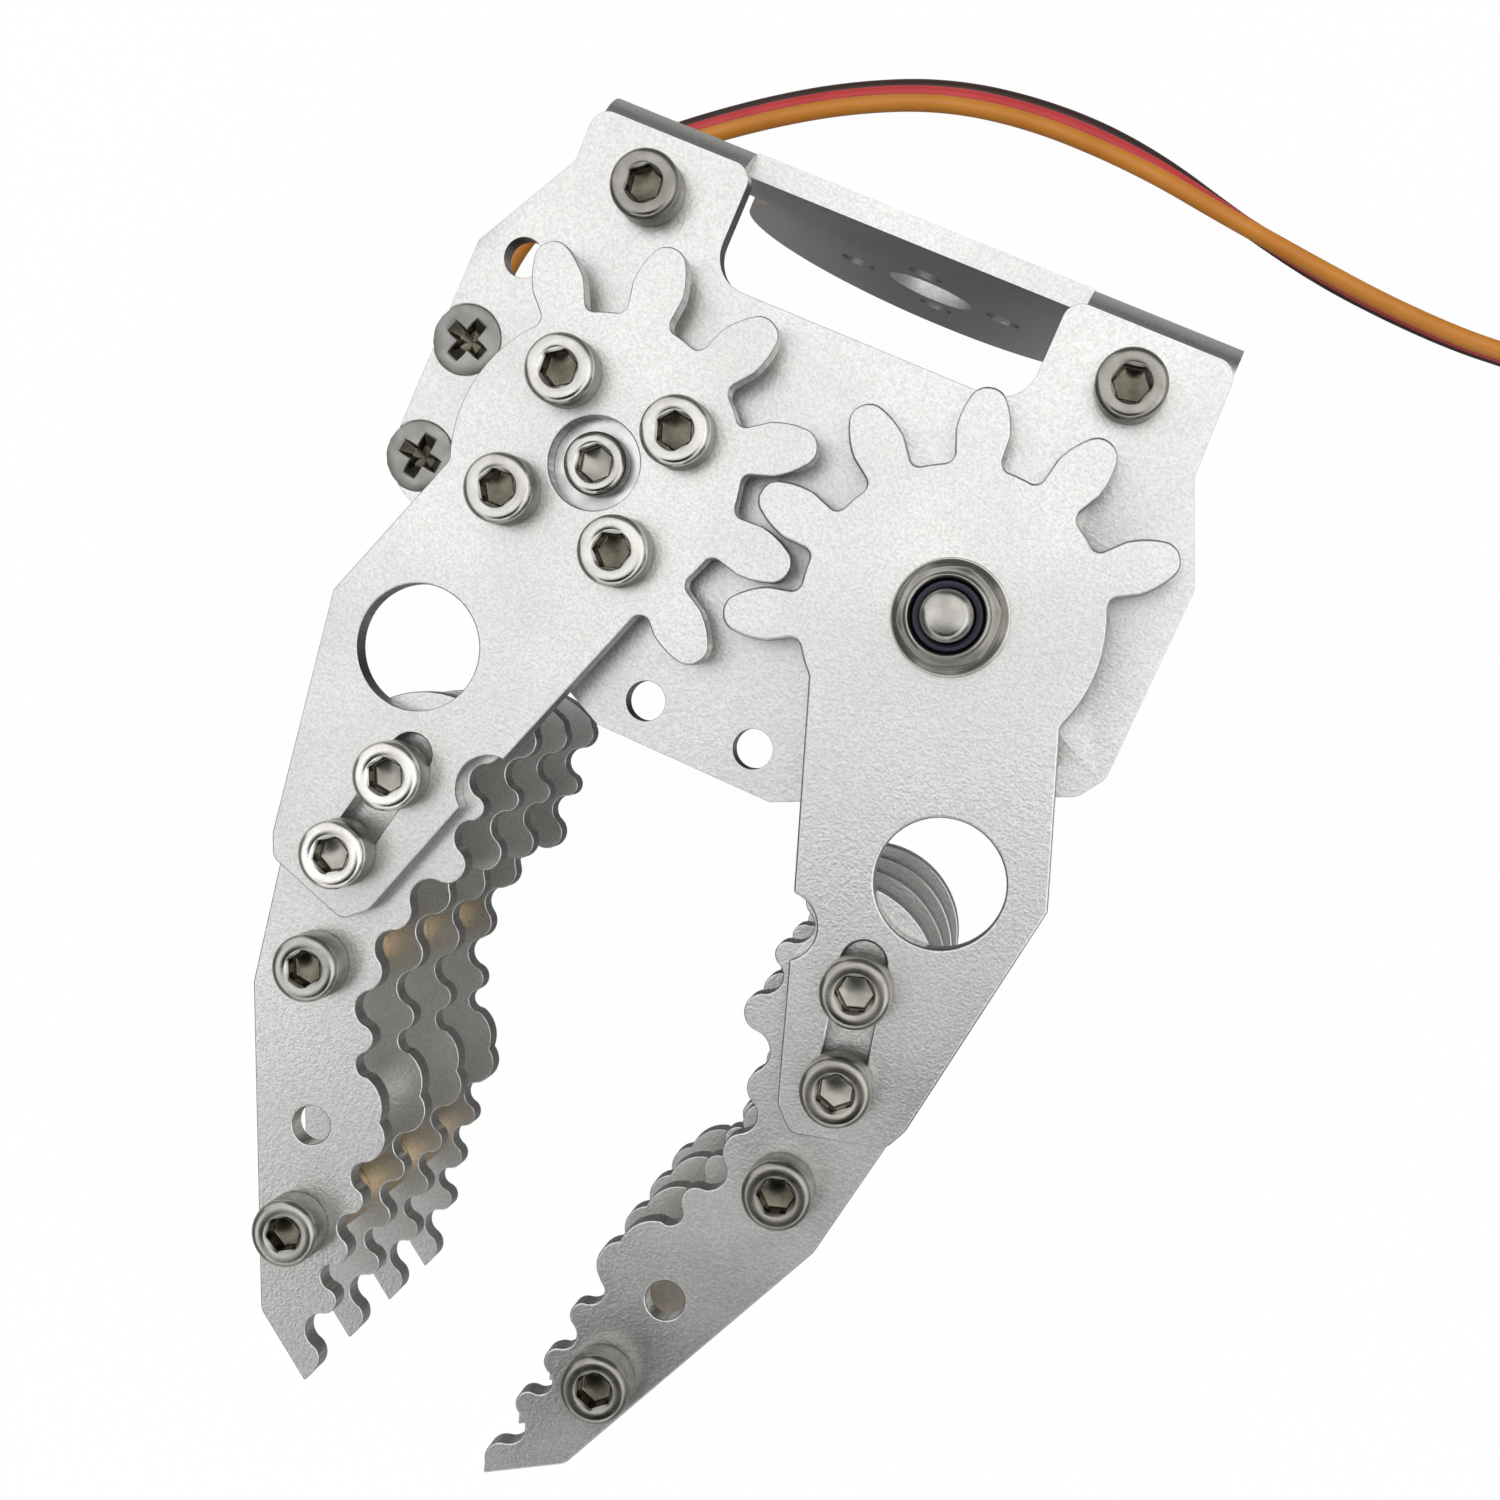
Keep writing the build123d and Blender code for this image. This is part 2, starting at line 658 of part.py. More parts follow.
# Pivot of the driven arm: a screw from below, a shouldered bush, a washer and a lock nut on top
pivot_head_d = 7.0
pivot_head_h = 2.6
pivot_tip = 1.4  # how far the screw's domed end stands out of the lock nut
pivot_dome = 0.9
pivot_thread_r = pivot_d / 2 + thread_clearance
shoulder_r = 4.0
washer_r = 4.5
washer_h = 0.5
arm_play = 0.1  # above and below the driven arm's hub
lock_flange_r = 4.35
lock_flange_h = 1.0
lock_hex_across = 7.0
lock_hex_h = 2.0
crown_h = 1.2
crown_r = 3.3
nylon_r = 2.9
nylon_h = 1.0
bush_top = arm_top + arm_play
washer_top = bush_top + washer_h
hex_low = washer_top + lock_flange_h
crown_low = hex_low + lock_hex_h
crown_top = crown_low + crown_h

with BuildPart() as pivot_screw:
    round_bar(pivot_axis, pivot_head_d / 2, base_low - pivot_head_h, base_low)
    round_bar(pivot_axis, pivot_d / 2, base_low, crown_top + pivot_tip)
    fillet(pivot_screw.edges().group_by(Axis.Z)[-1], pivot_dome)
    with BuildSketch(Plane(origin=(driven_x, -gear_reach, base_low - pivot_head_h))):
        RegularPolygon(socket_across / 2, 6, major_radius=False)
    extrude(amount=socket_depth, mode=Mode.SUBTRACT)
keep(pivot_screw.part, "pivot_screw")

with BuildPart() as pivot_bush:
    round_bar(pivot_axis, shoulder_r, base_top, arm_low - arm_play)
    round_bar(pivot_axis, bush_r, base_top, bush_top)
    round_bar(pivot_axis, pivot_thread_r, base_top, bush_top, Mode.SUBTRACT)
keep(pivot_bush.part, "pivot_bush")

pivot_washer = tube(washer_r, pivot_d / 2 + hole_clearance, washer_h)
keep_copies(pivot_washer, pivot_axis, bush_top, "pivot_washer")

with BuildPart() as pivot_lock_nut:
    round_bar(pivot_axis, lock_flange_r, washer_top, hex_low)
    with BuildSketch(Plane(origin=(driven_x, -gear_reach, hex_low))):
        RegularPolygon(lock_hex_across / 2, 6, major_radius=False)
    extrude(amount=lock_hex_h)
    round_bar(pivot_axis, crown_r, crown_low, crown_top)
    round_bar(pivot_axis, nylon_r, crown_low, crown_top, Mode.SUBTRACT)
    round_bar(pivot_axis, pivot_thread_r, washer_top, crown_top, Mode.SUBTRACT)
keep(pivot_lock_nut.part, "pivot_lock_nut")
keep_copies(tube(nylon_r, pivot_thread_r, nylon_h), pivot_axis, crown_low, "pivot_nut_insert")

# Servo lead: three flat wires, drawn as one round cord that lies on the servo's own level
lead_d = 3.0
lead_z = case_low + lead_d / 2
case_end_x = case_mid_x - case_length / 2
grommet_length = 2.5
grommet_size = (5.0, 3.6)
grommet_corner = 1.2
lead_exit = (case_end_x - grommet_length, -gear_reach, case_low + 2.6)
coil_x = 72.0
coil_middle_r = 5.5 * lead_d
lead_lane_y = 15.4
coil_y = lead_lane_y + coil_middle_r
coil_far_y = coil_y + coil_middle_r
lead_points = [
    lead_exit,
    (lead_exit[0] - 6.3, *lead_exit[1:]),
    (-41.1, -24.2, lead_z),
    (-44.6, -16.0, lead_z),
    (-42.6, -6.2, lead_z),
    (-35.2, 2.9, lead_z),
    (-26.2, 9.9, lead_z),
    (-17.6, 15.2, lead_z),
    (-8.5, 19.0, lead_z),
    (1.5, 20.4, lead_z),
    (11.6, 19.9, lead_z),
    (22.6, 17.5, lead_z),
    (33.8, 15.6, lead_z),
    (44.7, 14.9, lead_z),
    (52.0, lead_lane_y, lead_z),
    (58.0, lead_lane_y, lead_z),
]
coil_entry_x = lead_points[-1][0]


def bend_radii(points):
    """The arcs that the runs leave room for: 0.45 of the shorter run at each corner."""
    radii = []
    for a, b, c in zip(points, points[1:], points[2:]):
        before = Vector(*b) - Vector(*a)
        after = Vector(*c) - Vector(*b)
        half_turn = radians(before.get_angle(after)) / 2
        radii.append(0.45 * min(before.length, after.length) / tan(half_turn))
    return radii


lead_radii = bend_radii(lead_points)
print("lead bend radii", [round(r, 1) for r in lead_radii])
with BuildPart() as servo_lead:
    with BuildLine() as lead_line:
        FilletPolyline(*lead_points, radius=lead_radii)
    with BuildSketch(Plane(origin=lead_exit, z_dir=lead_line.line % 0)):
        Circle(lead_d / 2)
    sweep(path=lead_line.line)
lead_length = sum(edge.length for edge in lead_line.edges())
straight_volume = pi * (lead_d / 2) ** 2 * lead_length
print("lead length", round(lead_length, 1), "volume share", servo_lead.part.volume / straight_volume)
keep(servo_lead.part, "servo_lead")

with BuildPart() as servo_lead_grommet:
    with BuildSketch(Plane(origin=(case_end_x, *lead_exit[1:]), z_dir=(-1, 0, 0), x_dir=(0, 1, 0))):
        RectangleRounded(*grommet_size, grommet_corner)
    extrude(amount=grommet_length)
keep(servo_lead_grommet.part, "servo_lead_grommet")

# The rest of the lead lies in a coil that ends in a three-way plug
plug_size = (14.0, 7.7, 2.6)
plug_end_x = coil_entry_x - 1.0
plug_z = case_low + plug_size[2] / 2
contact_pitch = 2.54
contact_hole = (8.0, 1.0, 1.0)
standing = (Align.CENTER, Align.CENTER, Align.MIN)
coil_height = 2 * lead_d
tail_play = 0.1  # the coil's two straight ends are this much thinner, so no faces merge
with BuildPart() as servo_lead_coil:
    with Locations((coil_x, coil_y, case_low)):
        Cylinder(coil_middle_r + lead_d / 2, coil_height, align=standing)
        Cylinder(coil_middle_r - lead_d / 2, coil_height, align=standing, mode=Mode.SUBTRACT)
    with BuildSketch(Plane(origin=lead_points[-1], z_dir=(1, 0, 0))):
        Circle(lead_d / 2 - tail_play)
    extrude(amount=coil_x - coil_entry_x)
    with BuildSketch(Plane(origin=(plug_end_x, coil_far_y, plug_z), z_dir=(1, 0, 0))):
        Circle(plug_size[2] / 2 - tail_play)
    extrude(amount=coil_x - plug_end_x)
keep(servo_lead_coil.part, "servo_lead_coil")

with BuildPart() as servo_lead_plug:
    with Locations((plug_end_x, coil_far_y, case_low)):
        Box(*plug_size, align=(Align.MAX, Align.CENTER, Align.MIN))
    with Locations(*[
        (plug_end_x - plug_size[0], coil_far_y + step * contact_pitch, plug_z) for step in (-1, 0, 1)
    ]):
        Box(*contact_hole, align=(Align.MIN, Align.CENTER, Align.CENTER), mode=Mode.SUBTRACT)
keep(servo_lead_plug.part, "servo_lead_plug")
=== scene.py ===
"""Looks for a servo gripper: flat metal plates, geared arms, stacked fingers, servo and lead.

All lengths in the classes are in millimetres in the part's own frame, and become metres where a
mesh is made. Heights are +Z out of the plates, and the fingers point along -Y.
"""
from __future__ import annotations

import json
import logging
import math
from dataclasses import dataclass, field
from enum import Enum

import bmesh
import bpy
import numpy as np
from mathutils import Matrix, Vector

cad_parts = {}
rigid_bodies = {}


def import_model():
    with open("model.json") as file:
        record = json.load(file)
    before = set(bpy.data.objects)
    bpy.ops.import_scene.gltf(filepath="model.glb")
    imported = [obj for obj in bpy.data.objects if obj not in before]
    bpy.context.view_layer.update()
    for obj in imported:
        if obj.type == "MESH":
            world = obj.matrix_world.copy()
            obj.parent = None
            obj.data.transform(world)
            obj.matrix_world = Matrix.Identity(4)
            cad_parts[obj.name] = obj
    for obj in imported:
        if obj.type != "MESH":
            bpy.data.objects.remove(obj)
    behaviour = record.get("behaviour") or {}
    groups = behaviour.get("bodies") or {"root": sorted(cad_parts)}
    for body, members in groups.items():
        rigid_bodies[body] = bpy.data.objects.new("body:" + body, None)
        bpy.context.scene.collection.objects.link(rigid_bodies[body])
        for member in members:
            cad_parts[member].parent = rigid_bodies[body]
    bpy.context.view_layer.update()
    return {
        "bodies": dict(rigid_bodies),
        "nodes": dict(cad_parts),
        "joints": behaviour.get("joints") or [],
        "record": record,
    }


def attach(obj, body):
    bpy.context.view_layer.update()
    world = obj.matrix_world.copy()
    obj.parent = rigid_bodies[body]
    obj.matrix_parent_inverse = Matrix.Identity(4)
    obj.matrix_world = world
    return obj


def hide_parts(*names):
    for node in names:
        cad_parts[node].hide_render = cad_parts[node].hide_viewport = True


MM = 0.001
GEAR_Y = -27.8
FLOOR_Z = -20.0
SOCKET, WALL, SOCKET_FLOOR = 1, 2, 3  # finish numbers of a screw's surfaces
Triple = tuple[float, float, float]
Piece = bpy.types.Object
Socket = bpy.types.NodeSocket
Material = bpy.types.Material
log = logging.getLogger("gripper")


class Body(Enum):
    """The CAD bodies that the pieces ride on."""

    BASE = "base"
    LEFT = "left_finger"
    RIGHT = "right_finger"


# ---- finishes


class Tree:
    """A node tree, emptied, with short calls for adding and joining nodes."""

    def __init__(self, owner: Material | bpy.types.World) -> None:
        """Empties the tree.

        Args:
            owner: the material or the world that it belongs to.
        """
        owner.use_nodes = True
        self.nodes = owner.node_tree.nodes
        self.links = owner.node_tree.links
        self.nodes.clear()

    def add(self, kind: str, inputs: dict | None = None, **settings: object) -> bpy.types.Node:
        """Adds a node.

        Args:
            kind: the node's type without its ShaderNode prefix.
            inputs: a value or an output socket for each input, by name or number.
            settings: the node's own properties.

        Returns:
            The new node.
        """
        node = self.nodes.new("ShaderNode" + kind)
        for key, value in settings.items():
            setattr(node, key, value)
        for key, value in (inputs or {}).items():
            self.feed(node.inputs[key], value)
        return node

    def feed(self, socket: Socket, value: object) -> None:
        """Joins an output to a socket, or sets the socket's own value."""
        if isinstance(value, Socket):
            self.links.new(value, socket)
        else:
            socket.default_value = value

    def math(self, operation: str, a: object, b: object = 0.0) -> Socket:
        """One Math node."""
        return self.add("Math", {0: a, 1: b}, operation=operation).outputs[0]


class Paint(Tree):
    """A material's node tree, started with a Principled shader."""

    def __init__(self, name: str) -> None:
        """Starts the tree of a new material.

        Args:
            name: the material's name.
        """
        self.material = bpy.data.materials.new(name)
        super().__init__(self.material)
        self.shader = self.add("BsdfPrincipled")
        self.output = self.add("OutputMaterial", {"Surface": self.shader.outputs["BSDF"]})
        self.place = self.add("TexCoord").outputs["Object"]

    def stretched(self, scale: Triple) -> Socket:
        """Object coordinates scaled by a different amount along each axis."""
        return self.add("Mapping", {"Vector": self.place, "Scale": scale}).outputs["Vector"]

    def noise(self, size_mm: float, detail: float, place: object = None) -> Socket:
        """Noise whose blotches are about size_mm across, from 0 to 1."""
        inputs = {"Vector": place or self.place, "Scale": 1 / (size_mm * MM), "Detail": detail}
        return self.add("TexNoise", inputs).outputs["Fac"]

    def remap(self, value: object, *limits: float) -> Socket:
        """Stretches a value from the first two limits to the last two, and holds the ends."""
        return self.add("MapRange", dict(enumerate((value, *limits)))).outputs[0]

    def mix(self, share: object, a: object, b: object) -> Socket:
        """Colour a with the given share of colour b."""
        a, b = ((*c, 1.0) if isinstance(c, tuple) else c for c in (a, b))
        return self.add("Mix", {0: share, 6: a, 7: b}, data_type="RGBA").outputs[2]

    def rise(self, bent: bool) -> Socket:
        """How far the surface is a plate's flat: 1 where it faces up or down, 0 on its cut edges.

        Args:
            bent: whether the sheet also has flats that face along Y.

        Returns:
            The share.
        """
        normal = self.add("SeparateXYZ", {0: self.add("NewGeometry").outputs["Normal"]})
        level = self.math("ABSOLUTE", normal.outputs["Z"])
        if not bent:
            return level
        return self.math("MAXIMUM", level, self.math("ABSOLUTE", normal.outputs["Y"]))

    def bump(self, height: object, depth_mm: float, under: object = None) -> Socket:
        """A bump of the given depth, laid over another one if there is one."""
        inputs = {"Height": height, "Distance": depth_mm * MM, "Strength": 1.0}
        if under is not None:
            inputs["Normal"] = under
        return self.add("Bump", inputs).outputs["Normal"]

    def coat(self, colour: Socket, rough: Socket, normal: Socket, metallic: float = 0) -> Material:
        """Feeds the shader.

        Args:
            colour: its base colour.
            rough: its roughness.
            normal: its bumps.
            metallic: 1 for a metal.

        Returns:
            The finished material.
        """
        for name, value in (("Base Color", colour), ("Roughness", rough), ("Normal", normal)):
            self.feed(self.shader.inputs[name], value)
        self.shader.inputs["Metallic"].default_value = metallic
        return self.material


@dataclass(frozen=True)
class SheetFinish:
    """Blasted and silver-anodised sheet with bright, laser-cut edges."""

    name: str = "blasted_sheet"
    bent: bool = False
    colour: Triple = (0.80, 0.80, 0.785)
    speck: Triple = (0.60, 0.60, 0.585)
    cloud: Triple = (0.68, 0.68, 0.665)
    # The two cut colours are darker than the flats: real cut streaks, and painted shade on every
    # cut edge and hole wall.
    cut_colour_and_shade: Triple = (0.52, 0.52, 0.51)
    cut_shade: Triple = (0.34, 0.335, 0.325)
    roughness: float = 0.33
    grain_mm: float = 0.22
    pit_mm: float = 0.5
    streak_mm: float = 1.0
    cloud_mm: float = 14.0
    grain_depth: float = 0.016
    pit_depth: float = 0.010
    streak_depth: float = 0.008

    def material(self) -> Material:
        """Builds the material: speckled flats, and cut edges with streaks along Z, darker than the
        flats as painted shade.

        Returns:
            The finished material.
        """
        paint = Paint(self.name)
        grain = paint.noise(self.grain_mm, 3.0)
        pits = paint.noise(self.pit_mm, 4.0)
        clouds = paint.noise(self.cloud_mm, 3.0)
        streaks = paint.noise(self.streak_mm, 3.0, paint.stretched((4.0, 4.0, 0.25)))
        flat = paint.remap(paint.rise(self.bent), 0.55, 0.92, 0.0, 1.0)
        tone = paint.mix(paint.remap(grain, 0.36, 0.62, 0.75, 0.0), self.colour, self.speck)
        tone = paint.mix(paint.remap(clouds, 0.35, 0.7, 0.0, 0.22), tone, self.cloud)
        streaked = paint.remap(streaks, 0.35, 0.65, 0.0, 0.6)
        # Cut-edge colour with its streaks, darkened as painted shade.
        cut = paint.mix(streaked, self.cut_colour_and_shade, self.cut_shade)
        rough = paint.remap(clouds, 0.3, 0.7, self.roughness - 0.05, self.roughness + 0.06)
        cut_rough = paint.remap(streaks, 0.3, 0.7, 0.26, 0.40)
        mixed = paint.add("Mix", {0: flat, 2: cut_rough, 3: rough}, data_type="FLOAT")
        normal = paint.bump(pits, self.pit_depth)
        normal = paint.bump(grain, self.grain_depth, normal)
        normal = paint.bump(streaks, self.streak_depth, normal)
        return paint.coat(paint.mix(flat, cut, tone), mixed.outputs[0], normal, metallic=1)


@dataclass(frozen=True)
class MetalFinish:
    """Turned or pressed metal with fine tool marks and handling wear."""

    name: str
    colour: Triple
    shade: Triple
    roughness: float
    mark_mm: float = 0.12
    depth_mm: float = 0.003

    def material(self) -> Material:
        """Builds the material.

        Returns:
            The finished material.
        """
        paint = Paint(self.name)
        marks = paint.noise(self.mark_mm, 4.0)
        rings = paint.noise(self.mark_mm, 2.0, paint.stretched((0.15, 0.15, 2.5)))
        smear = paint.noise(2.2, 3.0)
        tone = paint.mix(paint.remap(smear, 0.38, 0.68, 0.0, 0.8), self.colour, self.shade)
        tone = paint.mix(paint.remap(marks, 0.45, 0.7, 0.0, 0.35), tone, self.shade)
        rough = paint.remap(smear, 0.3, 0.7, self.roughness * 0.75, self.roughness * 1.35)
        normal = paint.bump(marks, self.depth_mm, paint.bump(rings, self.depth_mm))
        return paint.coat(tone, rough, normal, metallic=1)


@dataclass(frozen=True)
class PlasticFinish:
    """Moulded plastic or cable covering, with a faint surface texture."""

    name: str
    colour: Triple
    shade: Triple
    roughness: float
    texture_mm: float = 0.25
    depth_mm: float = 0.012

    def material(self) -> Material:
        """Builds the material.

        Returns:
            The finished material.
        """
        paint = Paint(self.name)
        smear = paint.noise(5.0, 3.0)
        tone = paint.mix(paint.remap(smear, 0.35, 0.7, 0.0, 0.7), self.colour, self.shade)
        rough = paint.remap(smear, 0.3, 0.7, self.roughness * 0.85, self.roughness * 1.2)
        texture = paint.bump(paint.noise(self.texture_mm, 3.0), self.depth_mm)
        return paint.coat(tone, rough, texture)


@dataclass
class Finishes:
    """Every finish of the gripper, made once."""

    made: dict[str, Material] = field(default_factory=dict)

    def __post_init__(self) -> None:
        """Makes the materials.

        Each row has a name, colour, shade and roughness, and may have the size and depth of its
        marks.
        """
        metals = [
            ("stainless", (0.68, 0.665, 0.635), (0.47, 0.455, 0.42), 0.19),
            # The next three rows and the nut row copy stainless with painted light: the first is
            # lighter, the other three darker with painted shade.
            ("steel_painted_lit", (0.85, 0.83, 0.795), (0.64, 0.62, 0.585), 0.19),
            ("steel_painted_half_shade", (0.50, 0.49, 0.455), (0.34, 0.33, 0.30), 0.22),
            ("steel_painted_deep_shade", (0.36, 0.35, 0.32), (0.24, 0.23, 0.20), 0.24),
            # The knurled wall is darker than the head: real knurling, and painted shade on the
            # head's side.
            ("knurled_wall_painted_shade", (0.30, 0.29, 0.265), (0.19, 0.185, 0.165), 0.40, 0.4, 0.02),
            ("steel_painted_shade", (0.42, 0.405, 0.365), (0.28, 0.27, 0.24), 0.24),
            ("zinc_grey", (0.35, 0.35, 0.335), (0.27, 0.27, 0.255), 0.36),
            # The two recess rows are dark steel: painted shade inside sockets and cross recesses.
            ("recess_painted_shade", (0.19, 0.175, 0.135), (0.06, 0.055, 0.04), 0.22),
            ("cross_recess_painted_shade", (0.19, 0.17, 0.13), (0.10, 0.09, 0.07), 0.30),
            ("brass", (0.56, 0.41, 0.225), (0.39, 0.275, 0.14), 0.28),
            ("turned_aluminium", (0.74, 0.74, 0.74), (0.60, 0.60, 0.61), 0.30),
            ("motor_can", (0.56, 0.56, 0.57), (0.44, 0.44, 0.45), 0.34),
            ("gear_steel", (0.42, 0.41, 0.39), (0.30, 0.29, 0.27), 0.36),
        ]
        plastics = [
            ("case_black", (0.03, 0.03, 0.032), (0.045, 0.045, 0.047), 0.44, 0.35, 0.02),
            # The insert's blue is darkened nearly to black: painted shade inside the nut's crown.
            ("nylon_blue_painted_shade", (0.005, 0.007, 0.034), (0.004, 0.005, 0.020), 0.30),
            ("board_green", (0.03, 0.16, 0.07), (0.02, 0.10, 0.05), 0.30),
            ("wire_orange", (0.71, 0.27, 0.032), (0.6, 0.21, 0.024), 0.42, 0.5, 0.006),
            ("wire_red", (0.66, 0.056, 0.060), (0.52, 0.035, 0.04), 0.42, 0.5, 0.006),
            ("wire_brown", (0.05, 0.022, 0.018), (0.03, 0.013, 0.011), 0.4, 0.5, 0.006),
        ]
        kinds = [SheetFinish(), SheetFinish(name="bent_sheet", bent=True)]
        kinds += [MetalFinish(*row) for row in metals]
        kinds += [PlasticFinish(*row) for row in plastics]
        for kind in kinds:
            self.made[kind.name] = kind.material()

    def __getitem__(self, name: str) -> Material:
        """The material of that name."""
        return self.made[name]


# ---- meshes


@dataclass
class Shell:
    """Points and four-sided faces of a surface, in millimetres, with each face's finish number."""

    points: np.ndarray
    faces: np.ndarray
    finish: np.ndarray

    def moved(self, x: float, y: float, z: float) -> "Shell":
        """The same shell shifted by x, y and z."""
        return Shell(self.points + np.array([x, y, z]), self.faces, self.finish)

    def turned(self, degrees: float) -> "Shell":
        """The same shell turned about Z: (x, y) becomes (x cos - y sin, x sin + y cos)."""
        c, s = math.cos(math.radians(degrees)), math.sin(math.radians(degrees))
        axes = np.array([[c, s, 0], [-s, c, 0], [0, 0, 1.0]])
        return Shell(self.points @ axes, self.faces, self.finish)

    def dressed(self, number: int) -> "Shell":
        """The same shell with every face in the finish of that number."""
        return Shell(self.points, self.faces, np.full(len(self.faces), number))


def grid_shell(points: np.ndarray) -> Shell:
    """Joins a grid of points into four-sided faces, each row closed on itself.

    Point (i, j) is joined to (i + 1, j) and (i, j + 1), and the last column to the first one.

    Args:
        points: rows by columns by 3.

    Returns:
        The shell.
    """
    rows, columns = points.shape[:2]
    index = np.arange(rows * columns).reshape(rows, columns)
    ahead = np.roll(index, -1, axis=1)
    faces = np.stack([index[:-1], ahead[:-1], ahead[1:], index[1:]], axis=-1).reshape(-1, 4)
    return Shell(points.reshape(-1, 3), faces, np.zeros(len(faces), dtype=int))


def joined(shells: list[Shell]) -> Shell:
    """Several shells as one."""
    counts = np.cumsum([0] + [len(s.points) for s in shells[:-1]])
    return Shell(
        np.concatenate([s.points for s in shells]),
        np.concatenate([s.faces + start for s, start in zip(shells, counts)]),
        np.concatenate([s.finish for s in shells]),
    )


def circled(radius: object, angles: np.ndarray, height: object) -> np.ndarray:
    """Points (radius cos(angle), radius sin(angle), height), with all three spread to one shape."""
    spread = np.broadcast_arrays(radius * np.cos(angles), radius * np.sin(angles), height)
    return np.stack(spread, -1)


def hexagon(angles: np.ndarray) -> np.ndarray:
    """Radius of a hexagon of inscribed radius 1: 1 / cos(angle to the nearest flat's middle)."""
    sixth = math.pi / 3
    return 1 / np.cos((angles + sixth / 2) % sixth - sixth / 2)


def cross(angles: np.ndarray, arm: float, half: float) -> np.ndarray:
    """Radius of a plus sign: the nearer of arm / cos(turn) and half / sin(turn) in each quarter."""
    quarter = math.pi / 2
    turn = np.abs((angles + quarter / 2) % quarter - quarter / 2)
    return np.minimum(arm / np.cos(turn), half / np.maximum(np.sin(turn), 1e-6))


def smooth(share: np.ndarray) -> np.ndarray:
    """Eases a share in and out: three times its square less twice its cube, held to 0..1."""
    share = np.clip(share, 0, 1)
    return share * share * (3 - 2 * share)


def lathe(rows: list[tuple], columns: int = 48) -> Shell:
    """Turns a profile about Z into a closed surface.

    Row i is the circle of radius r at height z. Its third value, if any, is how far it is a
    hexagon instead: radius = r ((1 - share) + share hexagon(angle)).

    Args:
        rows: (radius, height) or (radius, height, hexagon share), from the axis round to the axis.
        columns: points round the axis.

    Returns:
        The shell.
    """
    angles = np.arange(columns) * 2 * math.pi / columns
    table = np.array([(*row, 0.0)[:3] for row in rows])
    radius = table[:, :1] * ((1 - table[:, 2:]) + table[:, 2:] * hexagon(angles))
    return grid_shell(circled(radius, angles, table[:, 1:2]))


def threaded_end(radius: float, top: float, bottom: float) -> Shell:
    """A screw's threaded end, hanging from a height to its chamfered tip.

    At height z and angle a the radius is the outer one less a triangle wave of
    z / pitch + a / turn, drawn in over the last half millimetre, and zero at the two ends.

    Args:
        radius: outer radius of the thread.
        top: upper height.
        bottom: lower height, the tip.

    Returns:
        The shell.
    """
    pitch, play, depth, chamfer, columns = 0.5, 0.02, 0.24, 0.5, 24
    rows = max(int((top - bottom) / pitch * 6), 8)
    heights = np.linspace(top, bottom, rows)[:, None]
    angles = np.arange(columns) * 2 * math.pi / columns
    wave = np.abs(((heights / pitch + angles / (2 * math.pi)) % 1.0) * 2 - 1)
    taper = np.clip((heights - bottom) / chamfer, 0, 1)
    body = circled((radius - play - depth * wave) * (0.72 + 0.28 * taper), angles, heights)
    first, last = body[:1] * [0, 0, 1], body[-1:] * [0, 0, 1]
    return grid_shell(np.concatenate([first, body, last]))


def linked(name: str, data: bpy.types.ID) -> Piece:
    """A new object for the data, in the scene and at the origin."""
    item = bpy.data.objects.new(name, data)
    bpy.context.scene.collection.objects.link(item)
    return item


def mesh_piece(name: str, shell: Shell, *materials: Material) -> Piece:
    """Makes one object from a shell, with its doubles merged and its faces outwards.

    Args:
        name: the object's name.
        shell: the surface in millimetres.
        materials: its finishes, in the order of the shell's finish numbers.

    Returns:
        The object, at the origin.
    """
    mesh = bpy.data.meshes.new(name)
    mesh.from_pydata(shell.points * MM, [], shell.faces.tolist())
    for material in materials:
        mesh.materials.append(material)
    mesh.polygons.foreach_set("material_index", shell.finish.astype(np.int32))
    work = bmesh.new()
    work.from_mesh(mesh)
    bmesh.ops.remove_doubles(work, verts=work.verts, dist=1e-7)
    bmesh.ops.recalc_face_normals(work, faces=work.faces)
    work.to_mesh(mesh)
    work.free()
    return linked(name, mesh)


def soften(piece: Piece, width_mm: float, angle: float = 32.0, segments: int = 2) -> None:
    """Rounds a piece's sharp edges with a small bevel and smooths the rest.

    Args:
        piece: the object.
        width_mm: width of the rounding.
        angle: edges that turn by more degrees than this are rounded.
        segments: steps across the rounding.
    """
    bevel = piece.modifiers.new("edge rounding", "BEVEL")
    bevel.width = width_mm * MM
    bevel.segments = segments
    bevel.limit_method = "ANGLE"
    bevel.angle_limit = math.radians(angle)
    bevel.harden_normals = True
    piece.data.shade_smooth()
    piece.data.set_sharp_from_angle(angle=math.radians(angle + 4))


def mounted(piece: Piece, body: Body, slot: str, *nodes: str) -> Piece:
    """Gives a piece its part in the frame.

    Args:
        piece: the object.
        body: the body that it rides on.
        slot: not used.
        nodes: the CAD nodes in whose place it stands, if any.

    Returns:
        The piece.
    """
    if nodes:
        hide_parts(*nodes)
    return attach(piece, body.value)


